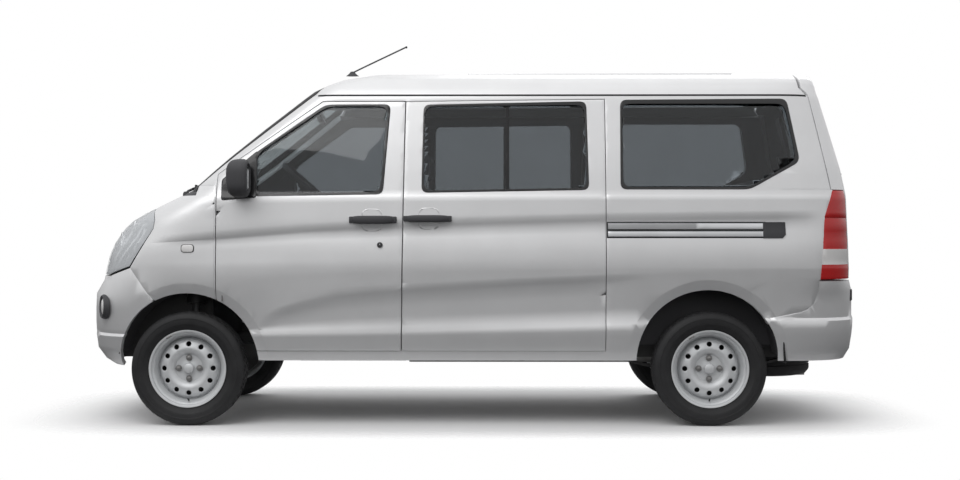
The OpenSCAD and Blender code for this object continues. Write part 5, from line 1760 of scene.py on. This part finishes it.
@dataclass
class Cushion:
    """A padded part of a seat, blown up by a short cloth simulation."""

    name: str
    low: tuple[float, float, float]
    high: tuple[float, float, float]
    lean: float = 0.0
    swell: float = 0.014
    channels: tuple[float, ...] = ()

    def build(self) -> bpy.types.Object:
        """Makes the cushion.

        Returns:
            The finished piece.
        """
        gap = self.swell * 0.75
        low = [a + gap for a in self.low]
        high = [b - gap for b in self.high]
        bm = block(low, high, 0.032, 4)
        if self.lean:
            height = self.high[2] - self.low[2]
            for vert in bm.verts:
                vert.co.x += self.lean * (vert.co.z - self.low[2]) / height
        mesh = bpy.data.meshes.new(self.name)
        bm.to_mesh(mesh)
        bm.free()
        obj = bpy.data.objects.new(self.name, mesh)
        bpy.context.scene.collection.objects.link(obj)
        remesh = obj.modifiers.new("cells", "REMESH")
        remesh.mode = "VOXEL"
        remesh.voxel_size = 0.0125
        self.apply(obj)
        self.inflate(obj)
        self.sew(obj)
        for finish in (FABRIC, FABRIC_INSET):
            obj.data.materials.append(finish.material())
        middle = [(a + b) / 2 for a, b in zip(self.low, self.high)]
        half_y = (self.high[1] - self.low[1]) / 2
        for face in obj.data.polygons:
            face.use_smooth = True
            face.material_index = 1 if abs(face.center.y - middle[1]) < half_y * 0.62 else 0
        smooth = obj.modifiers.new("smooth", "SUBSURF")
        smooth.levels = smooth.render_levels = 1
        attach(obj, "root")
        LOG.info("%s: %d faces", self.name, len(obj.data.polygons))
        return obj

    @staticmethod
    def apply(obj: bpy.types.Object) -> None:
        """Applies every modifier of an object."""
        graph = bpy.context.evaluated_depsgraph_get()
        mesh = bpy.data.meshes.new_from_object(obj.evaluated_get(graph))
        obj.modifiers.clear()
        old = obj.data
        obj.data = mesh
        bpy.data.meshes.remove(old)

    def inflate(self, obj: bpy.types.Object) -> None:
        """Blows the cushion up with a cloth simulation and applies its result.

        Args:
            obj: The cushion.
        """
        before = [v.co.copy() for v in obj.data.vertices]
        cloth = obj.modifiers.new("cloth", "CLOTH")
        cloth.settings.use_pressure = True
        cloth.settings.uniform_pressure_force = 4.0
        cloth.settings.effector_weights.gravity = 0.0
        cloth.settings.quality = 4
        cloth.collision_settings.use_collision = False
        cloth.point_cache.frame_end = 20
        scene = bpy.context.scene
        for step in range(1, 21):
            scene.frame_set(step)
        self.apply(obj)
        scene.frame_set(1)
        for vert, start in zip(obj.data.vertices, before):
            move = vert.co - start
            if move.length > 0.024:
                move = move.normalized() * 0.024
            place = start + move
            vert.co = place

    def sew(self, obj: bpy.types.Object) -> None:
        """Presses the sewn channels and the side seams, and keeps the cushion in its box.

        Args:
            obj: The cushion.
        """
        middle_y = (self.low[1] + self.high[1]) / 2
        half_y = (self.high[1] - self.low[1]) / 2
        height = self.high[2] - self.low[2]
        for vert in obj.data.vertices:
            shift = self.lean * min(1.0, max(0.0, (vert.co.z - self.low[2]) / height)) if self.lean else 0.0
            seam = abs(abs(vert.co.y - middle_y) - half_y * 0.62)
            dent = 0.006 * math.exp(-(seam / 0.008) ** 2)
            for channel in self.channels:
                along = vert.co.z if self.lean else vert.co.x
                if abs(vert.co.y - middle_y) < half_y * 0.62:
                    dent += 0.005 * math.exp(-((along - channel) / 0.008) ** 2)
            if self.lean:
                vert.co.x += dent if vert.co.x - shift < (self.low[0] + self.high[0]) / 2 else 0.0
            elif vert.co.z > (self.low[2] + self.high[2]) / 2:
                vert.co.z -= dent
            vert.co.x = min(self.high[0] + shift, max(self.low[0] + shift, vert.co.x))
            vert.co.y = min(self.high[1], max(self.low[1], vert.co.y))
            vert.co.z = min(self.high[2], max(self.low[2], vert.co.z))


@dataclass
class Seats:
    """All three rows of seats."""

    base: float = 0.6425

    def build(self) -> None:
        """Makes the front seats and the two benches."""
        for side, y in (("left", -0.370), ("right", 0.370)):
            Cushion(f"front_cushion_{side}", (-0.895, y - 0.245, self.base),
                                (-0.405, y + 0.245, self.base + 0.150), channels=(-0.74, -0.60)).build()
            Cushion(f"front_back_{side}", (-0.416, y - 0.240, 0.745), (-0.316, y + 0.240, 1.288),
                                lean=0.085, channels=(0.90, 1.05, 1.18)).build()
            Cushion(f"head_rest_{side}", (-0.318, y - 0.120, 1.300), (-0.226, y + 0.120, 1.448),
                                swell=0.008).build()
            posts = rod([(-0.272, y - 0.05, 1.25), (-0.272, y - 0.05, 1.33)], 0.006, 12)
            join(posts, rod([(-0.272, y + 0.05, 1.25), (-0.272, y + 0.05, 1.33)], 0.006, 12))
            piece(f"head_rest_posts_{side}", posts, (CHROME,), "root")
        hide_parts("front_seats")
        for row, x, half in (("middle", 0.082, 0.590), ("rear", 0.905, 0.545)):
            first = Cushion(f"{row}_cushion", (x, -half, self.base), (x + 0.470, half, self.base + 0.140),
                            channels=(x + 0.16, x + 0.30)).build()
            Cushion(f"{row}_back", (x + 0.459, -half + 0.005, 0.735), (x + 0.559, half - 0.005, 1.308),
                    lean=0.090, channels=(0.90, 1.05, 1.20)).build()
            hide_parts(f"{row}_seat")


@dataclass
class Cabin:
    """Dashboard details, the steering wheel and floor covering."""

    tilt: float = math.radians(43.0)
    hub: Vector = field(default_factory=lambda: Vector((-0.886, -0.370, 1.245)))

    def build(self) -> None:
        """Makes the cabin's visible parts."""
        self.steering_wheel()
        self.dashboard()
        self.floor()

    def steering_wheel(self) -> None:
        """Makes the steering wheel with its rim, spokes and pad."""
        rim = bmesh.new()
        rings = []
        for i in range(72):
            a = math.tau * i / 72
            grip = 0.0145 + 0.0012 * math.cos(4 * a)
            made = bmesh.ops.create_circle(rim, segments=14, radius=grip, matrix=Matrix.Translation(
                (0.173 * math.cos(a), 0.173 * math.sin(a), 0.0)) @ Matrix.Rotation(a, 4, "Z") @
                Matrix.Rotation(math.pi / 2, 4, "X"))
            rings.append(made["verts"])
        for a, b in zip(rings, rings[1:] + rings[:1]):
            for k in range(14):
                rim.faces.new((a[k], a[(k + 1) % 14], b[(k + 1) % 14], b[k]))
        bmesh.ops.recalc_face_normals(rim, faces=rim.faces)
        pad = bmesh.new()
        bmesh.ops.create_uvsphere(pad, u_segments=32, v_segments=16, radius=1.0)
        for vert in pad.verts:
            x, y, z = vert.co
            vert.co = Vector((math.copysign(abs(x) ** 0.6, x) * 0.058, math.copysign(abs(y) ** 0.6, y) * 0.072,
                              math.copysign(abs(z) ** 0.7, z) * 0.024 - 0.012))
        join(rim, pad)
        for angle in (math.radians(8), math.radians(172), math.radians(262), math.radians(278)):
            out = Vector((math.sin(angle), math.cos(angle), 0))
            spoke = rod([out * 0.040 + Vector((0, 0, -0.014)), out * 0.11 + Vector((0, 0, -0.010)),
                         out * 0.168], 0.010, 12)
            join(rim, spoke)
        boss = spun([(0.0, -0.070), (0.026, -0.070), (0.030, -0.030), (0.040, -0.020), (0.0, -0.020)], 32)
        join(rim, boss)
        place = Matrix.Translation(self.hub) @ Matrix.Rotation(self.tilt, 4, "Y")
        piece("steering_wheel_rim", turned(rim, place), (CABIN,), "steering_wheel",
              ("steering_wheel",))
        shroud = spun([(0.0, -0.078), (0.045, -0.080), (0.055, -0.100), (0.058, -0.20), (0.0, -0.21)], 32)
        for side, length in ((-1, 0.13), (1, 0.13)):
            join(shroud, rod([(0, side * 0.03, -0.10), (0.01, side * 0.10, -0.085),
                              (0.02, side * length, -0.070)], 0.0065, 10))
        piece("column_shroud", turned(shroud, place), (CABIN,), "root")

    @staticmethod
    def dashboard() -> None:
        """Makes the instrument hood, the vents, the radio panel and the glove box on the dashboard."""
        low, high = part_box("dashboard")
        face = high.x
        hood = bmesh.new()
        bmesh.ops.create_uvsphere(hood, u_segments=40, v_segments=20, radius=1.0)
        for vert in hood.verts:
            x, y, z = vert.co
            vert.co = Vector((face - 0.14 + x * 0.13, -0.370 + math.copysign(abs(y) ** 0.7, y) * 0.185,
                              high.z - 0.045 + max(-0.3, z) * 0.085))
        piece("instrument_hood", hood, (CABIN,), "root")
        dials = bmesh.new()
        for y in (-0.44, -0.30):
            dial = turned(spun([(0.0, 0.0), (0.048, 0.0), (0.052, 0.006), (0.056, 0.0), (0.056, -0.01),
                                (0.0, -0.01)], 40), Matrix.Translation((face - 0.02, y, high.z - 0.045)) @
                          Matrix.Rotation(math.radians(75), 4, "Y"))
            join(dials, dial)
        piece("instrument_dials", dials, (GLOSS_BLACK,), "root")
        for index, y in enumerate((-0.64, -0.09, 0.09, 0.64)):
            vent = block((face - 0.035, y - 0.055, high.z - 0.095), (face + 0.006, y + 0.055, high.z - 0.040), 0.006)
            for z in (-0.082, -0.072, -0.062, -0.052):
                join(vent, painted(block((face + 0.004, y - 0.048, high.z + z - 0.002),
                                         (face + 0.010, y + 0.048, high.z + z + 0.002), 0.001), 1))
            piece(f"dash_vent_{index}", vent, (CABIN, GLOSS_BLACK), "root")
        console = block((face - 0.06, -0.115, low.z + 0.01), (face + 0.004, 0.115, high.z - 0.105), 0.012, 3)
        for row in range(3):
            for column in range(3):
                knob = turned(spun([(0.0, 0.012), (0.012, 0.011), (0.015, 0.0), (0.0, 0.0)], 20),
                              Matrix.Translation((face + 0.004, -0.06 + 0.06 * column, low.z + 0.04 + 0.032 * row))
                              @ Matrix.Rotation(math.pi / 2, 4, "Y"))
                join(console, painted(knob, 1))
        piece("dash_console", console, (CABIN, GLOSS_BLACK), "root")
        glove = block((face - 0.05, 0.20, low.z + 0.02), (face - 0.002, 0.58, high.z - 0.11), 0.014, 3)
        piece("glove_box", glove, (CABIN,), "root")
        lever = rod([(-0.76, 0.0, 0.84), (-0.745, 0.0, 0.93), (-0.75, 0.0, 0.98)], 0.009, 14)
        join(lever, turned(spun([(0.0, 0.03), (0.018, 0.022), (0.022, 0.0), (0.014, -0.02), (0.0, -0.024)], 24),
                           Matrix.Translation((-0.75, 0.0, 0.995))))
        base = block((-0.84, -0.07, 0.655), (-0.66, 0.07, 0.845), 0.02, 3)
        join(lever, base)
        piece("gear_lever", lever, (CABIN,), "root")

    @staticmethod
    def floor() -> None:
        """Makes the carpet and the lining of the load space."""
        low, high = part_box("floor_pan")
        for name, x0, x1, half in (("front", -1.10, -0.995, 0.52), ("middle", -0.28, 0.06, 0.60),
                                   ("rear", 0.60, 0.86, 0.50), ("load", 1.52, 1.90, 0.50)):
            mat = block((x0, -half, 0.424), (x1, half, 0.432), 0.003)
            bmesh.ops.subdivide_edges(mat, edges=[e for e in mat.edges if e.calc_length() > 0.1], cuts=30,
                                      use_grid_fill=True)
            for vert in mat.verts:
                if vert.co.z > 0.430:
                    vert.co.z += 0.002 * noise.noise(vert.co * 30.0)
            if low.z < 0.42 < high.z:
                piece(f"carpet_{name}", mat, (CARPET,), "root")


@dataclass
class Underside:
    """Small details under the car: brake drums, mud flaps, brake lines and the spare wheel."""

    def build(self) -> None:
        """Makes the details."""
        self.brakes()
        self.mud_flaps()
        self.brake_lines()
        self.wheel_nuts_of_spare()

    @staticmethod
    def brakes() -> None:
        """Makes the dark drum behind each wheel's disc."""
        for name, body, x in (("front_left", "knuckle_left", FRONT_X), ("front_right", "knuckle_right", FRONT_X),
                              ("rear_left", "root", REAR_X), ("rear_right", "root", REAR_X)):
            sign = -1.0 if name.endswith("left") else 1.0
            drum = spun([(0.045, 0.040), (0.118, 0.040), (0.1225, 0.036), (0.1240, 0.018), (0.1300, 0.016),
                         (0.1300, 0.008), (0.1610, 0.004), (0.1610, 0.0), (0.045, 0.0)], 64, closed=True)
            turn = Matrix.Rotation(math.pi / 2 if sign < 0 else -math.pi / 2, 4, "X")
            place = Matrix.Translation((x, sign * 0.640, 0.295)) @ turn
            piece(f"brake_{name}", turned(drum, place), (CHASSIS,), body, bevel=0.001)

    @staticmethod
    def mud_flaps() -> None:
        """Makes the rubber flaps behind the rear wheels."""
        for side in (-1, 1):
            flap = block((REAR_X + 0.372, side * 0.70 - 0.075, 0.325), (REAR_X + 0.380, side * 0.70 + 0.075, 0.470),
                         0.003)
            bmesh.ops.subdivide_edges(flap, edges=[e for e in flap.edges if e.calc_length() > 0.1], cuts=10,
                                      use_grid_fill=True)
            for vert in flap.verts:
                vert.co.x += 0.03 * ((0.470 - vert.co.z) / 0.235) ** 2
            piece(f"mud_flap_{'left' if side < 0 else 'right'}", flap, (SEAL,), "root")

    @staticmethod
    def brake_lines() -> None:
        """Makes the brake pipes along the left rail."""
        bm = bmesh.new()
        for y in (-0.350, -0.342):
            path = [(-1.40, y, 0.352), (-0.6, y, 0.350), (0.2, y, 0.350), (0.8, y, 0.352), (1.15, y, 0.36)]
            join(bm, rod(path, 0.003, 8))
        for x in (-1.2, -0.7, -0.2, 0.3, 0.8):
            join(bm, block((x - 0.008, -0.362, 0.340), (x + 0.008, -0.336, 0.361), 0.002))
        piece("brake_pipes", bm, (STEEL,), "root")

    @staticmethod
    def wheel_nuts_of_spare() -> None:
        """Makes the tread and the carrier of the spare wheel."""
        low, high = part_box("spare_wheel")
        middle = (low + high) / 2
        radius = (high.x - low.x) / 2
        half = (high.z - low.z) / 2
        profile = [(radius - 0.10, half * 0.80), (radius - 0.085, half * 0.95), (radius - 0.05, half),
                   (radius - 0.02, half * 0.92), (radius - 0.004, half * 0.72), (radius, half * 0.62)]
        for z in (0.35, 0.0, -0.35):
            profile += [(radius, half * z + 0.005), (radius - 0.006, half * z + 0.003),
                        (radius - 0.006, half * z - 0.003), (radius, half * z - 0.005)]
        profile += [(a, -b) for a, b in reversed(profile[:6])]
        bm = spun(profile + [(radius - 0.11, -half * 0.7), (radius - 0.11, half * 0.7)], 96, closed=True)
        dish = spun([(0.0, -half * 0.3), (0.05, -half * 0.3), (0.07, -half * 0.1), (radius - 0.13, half * 0.1),
                     (radius - 0.105, half * 0.5), (radius - 0.095, half * 0.72), (radius - 0.108, half * 0.70),
                     (radius - 0.14, half * 0.2), (0.0, half * 0.0)], 64)
        join(bm, painted(dish, 1))
        piece("spare_wheel_tyre", turned(bm, Matrix.Translation(middle)), (TYRE, WHEEL), "root",
              ("spare_wheel",), smooth_angle=30.0)
        bar = rod([(middle.x - radius - 0.02, 0, middle.z - half - 0.006), (middle.x, 0, middle.z - half - 0.012),
                   (middle.x + radius - 0.02, 0, middle.z - half - 0.006)], 0.006, 12)
        piece("spare_wheel_bar", bar, (STEEL,), "root")


CARRIED = {
    "floor_pan": UNDERBODY, "chassis_frame": CHASSIS, "inner_wings": CHASSIS, "arch_liners": BLACK,
    "dashboard": CABIN,
    "steering_column": CABIN, "seat_frames": CHASSIS, "engine": CASTING, "propeller_shaft": STEEL,
    "fuel_tank": UNDERBODY, "exhaust": EXHAUST, "rear_axle": CHASSIS, "leaf_springs": CHASSIS,
    "front_suspension": CHASSIS, "hinges": STEEL, "knuckle_left": STEEL, "knuckle_right": STEEL,
}


def paint_carried() -> None:
    """Gives every CAD node that stays in view its procedural material."""
    for name, finish in CARRIED.items():
        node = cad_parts[name]
        node.data.materials.clear()
        node.data.materials.append(finish.material())


# ----------------------------------------------------------------------------------------------------- studio


@dataclass
class Studio:
    """Camera, lights, floor and background."""

    eye: Vector = field(default_factory=lambda: Vector((0.110, -8.165, 0.987)))
    lens: float = 53.8
    yaw: float = math.radians(0.48)
    pitch: float = math.radians(-0.2)

    def build(self) -> None:
        """Makes the studio."""
        scene = bpy.context.scene
        scene.view_settings.view_transform = "Standard"
        data = bpy.data.cameras.new("camera")
        data.lens = self.lens
        data.sensor_width = 36.0
        data.clip_end = 200.0
        camera = bpy.data.objects.new("camera", data)
        camera.location = self.eye
        camera.rotation_euler = (math.pi / 2 + self.pitch, 0.0, self.yaw)
        scene.collection.objects.link(camera)
        scene.camera = camera
        self.floor()
        self.light("key", (-2.5, -4.5, 6.0), 5.0, 170.0)
        self.light("top", (0.0, 0.0, 6.0), 5.0, 20.0)
        self.light("back", (2.0, 6.0, 5.0), 5.0, 80.0)
        self.world()

    @staticmethod
    def floor() -> None:
        """Makes the plain pale floor."""
        bm = bmesh.new()
        bmesh.ops.create_grid(bm, x_segments=4, y_segments=4, size=30.0)
        mesh = bpy.data.meshes.new("studio_floor")
        bm.to_mesh(mesh)
        bm.free()
        obj = bpy.data.objects.new("studio_floor", mesh)
        bpy.context.scene.collection.objects.link(obj)
        mat = Finish("studio_floor", (0.80, 0.80, 0.80), 0.9, variation=0.005, bump=0.0).material()
        Studio.fade(mat)
        mesh.materials.append(mat)

    @staticmethod
    def fade(mat: bpy.types.Material) -> None:
        """Lets the floor fade out away from the car.

        Args:
            mat: The floor's material.
        """
        tree = mat.node_tree
        coords = tree.nodes.new("ShaderNodeTexCoord")
        shape = tree.nodes.new("ShaderNodeMapping")
        shape.inputs["Scale"].default_value = (1 / 2.55, 1 / 1.25, 0.0)
        tree.links.new(coords.outputs["Object"], shape.inputs["Vector"])
        split = tree.nodes.new("ShaderNodeSeparateXYZ")
        tree.links.new(shape.outputs["Vector"], split.inputs["Vector"])
        powers = []
        for axis in ("X", "Y"):
            size = tree.nodes.new("ShaderNodeMath")
            size.operation = "ABSOLUTE"
            power = tree.nodes.new("ShaderNodeMath")
            power.operation = "POWER"
            power.inputs[1].default_value = 4.0
            tree.links.new(split.outputs[axis], size.inputs[0])
            tree.links.new(size.outputs["Value"], power.inputs[0])
            powers.append(power)
        total = tree.nodes.new("ShaderNodeMath")
        tree.links.new(powers[0].outputs["Value"], total.inputs[0])
        tree.links.new(powers[1].outputs["Value"], total.inputs[1])
        ease = tree.nodes.new("ShaderNodeMapRange")
        ease.interpolation_type = "SMOOTHSTEP"
        ease.inputs["From Min"].default_value = 0.22
        ease.inputs["From Max"].default_value = 1.0
        tree.links.new(total.outputs["Value"], ease.inputs["Value"])
        clear = tree.nodes.new("ShaderNodeBsdfTransparent")
        mix = tree.nodes.new("ShaderNodeMixShader")
        tree.links.new(ease.outputs["Result"], mix.inputs["Fac"])
        tree.links.new(tree.nodes["Principled BSDF"].outputs["BSDF"], mix.inputs[1])
        tree.links.new(clear.outputs["BSDF"], mix.inputs[2])
        tree.links.new(mix.outputs["Shader"], tree.nodes["Material Output"].inputs["Surface"])

    @staticmethod
    def light(name: str, where: tuple[float, float, float], size: float, power: float) -> None:
        """Adds one soft area light that faces the car.

        Args:
            name: The light's name.
            where: Its place.
            size: Its side length.
            power: Its power in watts.
        """
        data = bpy.data.lights.new(name, "AREA")
        data.size = size
        data.energy = power
        obj = bpy.data.objects.new(name, data)
        obj.location = where
        aim = Vector((0.0, 0.0, 0.8)) - Vector(where)
        obj.rotation_euler = aim.to_track_quat("-Z", "Y").to_euler()
        bpy.context.scene.collection.objects.link(obj)

    @staticmethod
    def world() -> None:
        """Makes a white background, with a graded grey sky for light and reflections."""
        world = bpy.data.worlds.new("studio")
        bpy.context.scene.world = world
        world.use_nodes = True
        tree = world.node_tree
        tree.nodes.clear()
        out = tree.nodes.new("ShaderNodeOutputWorld")
        sky = tree.nodes.new("ShaderNodeBackground")
        white = tree.nodes.new("ShaderNodeBackground")
        white.inputs["Color"].default_value = (1, 1, 1, 1)
        white.inputs["Strength"].default_value = 1.0
        coords = tree.nodes.new("ShaderNodeTexCoord")
        split = tree.nodes.new("ShaderNodeSeparateXYZ")
        rise = tree.nodes.new("ShaderNodeMapRange")
        rise.inputs["From Min"].default_value = -1.0
        tree.links.new(coords.outputs["Generated"], split.inputs["Vector"])
        tree.links.new(split.outputs["Z"], rise.inputs["Value"])
        ramp = tree.nodes.new("ShaderNodeValToRGB")
        ramp.color_ramp.elements[0].position = 0.30
        ramp.color_ramp.elements[0].color = (0.03, 0.031, 0.034, 1)
        ramp.color_ramp.elements[1].position = 0.72
        ramp.color_ramp.elements[1].color = (0.85, 0.85, 0.86, 1)
        for place, level in ((0.42, 0.04), (0.50, 0.29), (0.57, 0.82)):
            ramp.color_ramp.elements.new(place).color = (level, level, level * 1.01, 1)
        tree.links.new(rise.outputs["Result"], ramp.inputs["Fac"])
        tree.links.new(ramp.outputs["Color"], sky.inputs["Color"])
        sky.inputs["Strength"].default_value = 1.0
        path = tree.nodes.new("ShaderNodeLightPath")
        total = path.outputs["Is Camera Ray"]
        add = tree.nodes.new("ShaderNodeMath")
        add.operation = "MAXIMUM"
        tree.links.new(total, add.inputs[0])
        tree.links.new(path.outputs["Is Transmission Ray"], add.inputs[1])
        mix = tree.nodes.new("ShaderNodeMixShader")
        tree.links.new(add.outputs["Value"], mix.inputs["Fac"])
        tree.links.new(sky.outputs["Background"], mix.inputs[1])
        tree.links.new(white.outputs["Background"], mix.inputs[2])
        tree.links.new(mix.outputs["Shader"], out.inputs["Surface"])


@dataclass
class Minivan:
    """The whole car."""

    def build(self) -> None:
        """Makes every sub-assembly."""
        for part in (SidePanels(), WindowTrims(), FrontDoors(), SlidingDoors(), Nose(), Tail(), Roof(), Cabin(),
                     Underside(), Seats()):
            part.build()
            LOG.info("%s done", type(part).__name__)
        for name, x, y, outer in (("front_left", FRONT_X, -0.69, -1.0), ("front_right", FRONT_X, 0.69, 1.0),
                                  ("rear_left", REAR_X, -0.69, -1.0), ("rear_right", REAR_X, 0.69, 1.0)):
            Wheel(name, Vector((x, y, 0.295)), outer).build()
        paint_carried()


def main() -> None:
    """Builds the car and the studio."""
    logging.basicConfig(level=logging.INFO, format="%(name)s %(message)s")
    random.seed(7)
    Minivan().build()
    Studio().build()


if __name__ == "__main__":
    main()
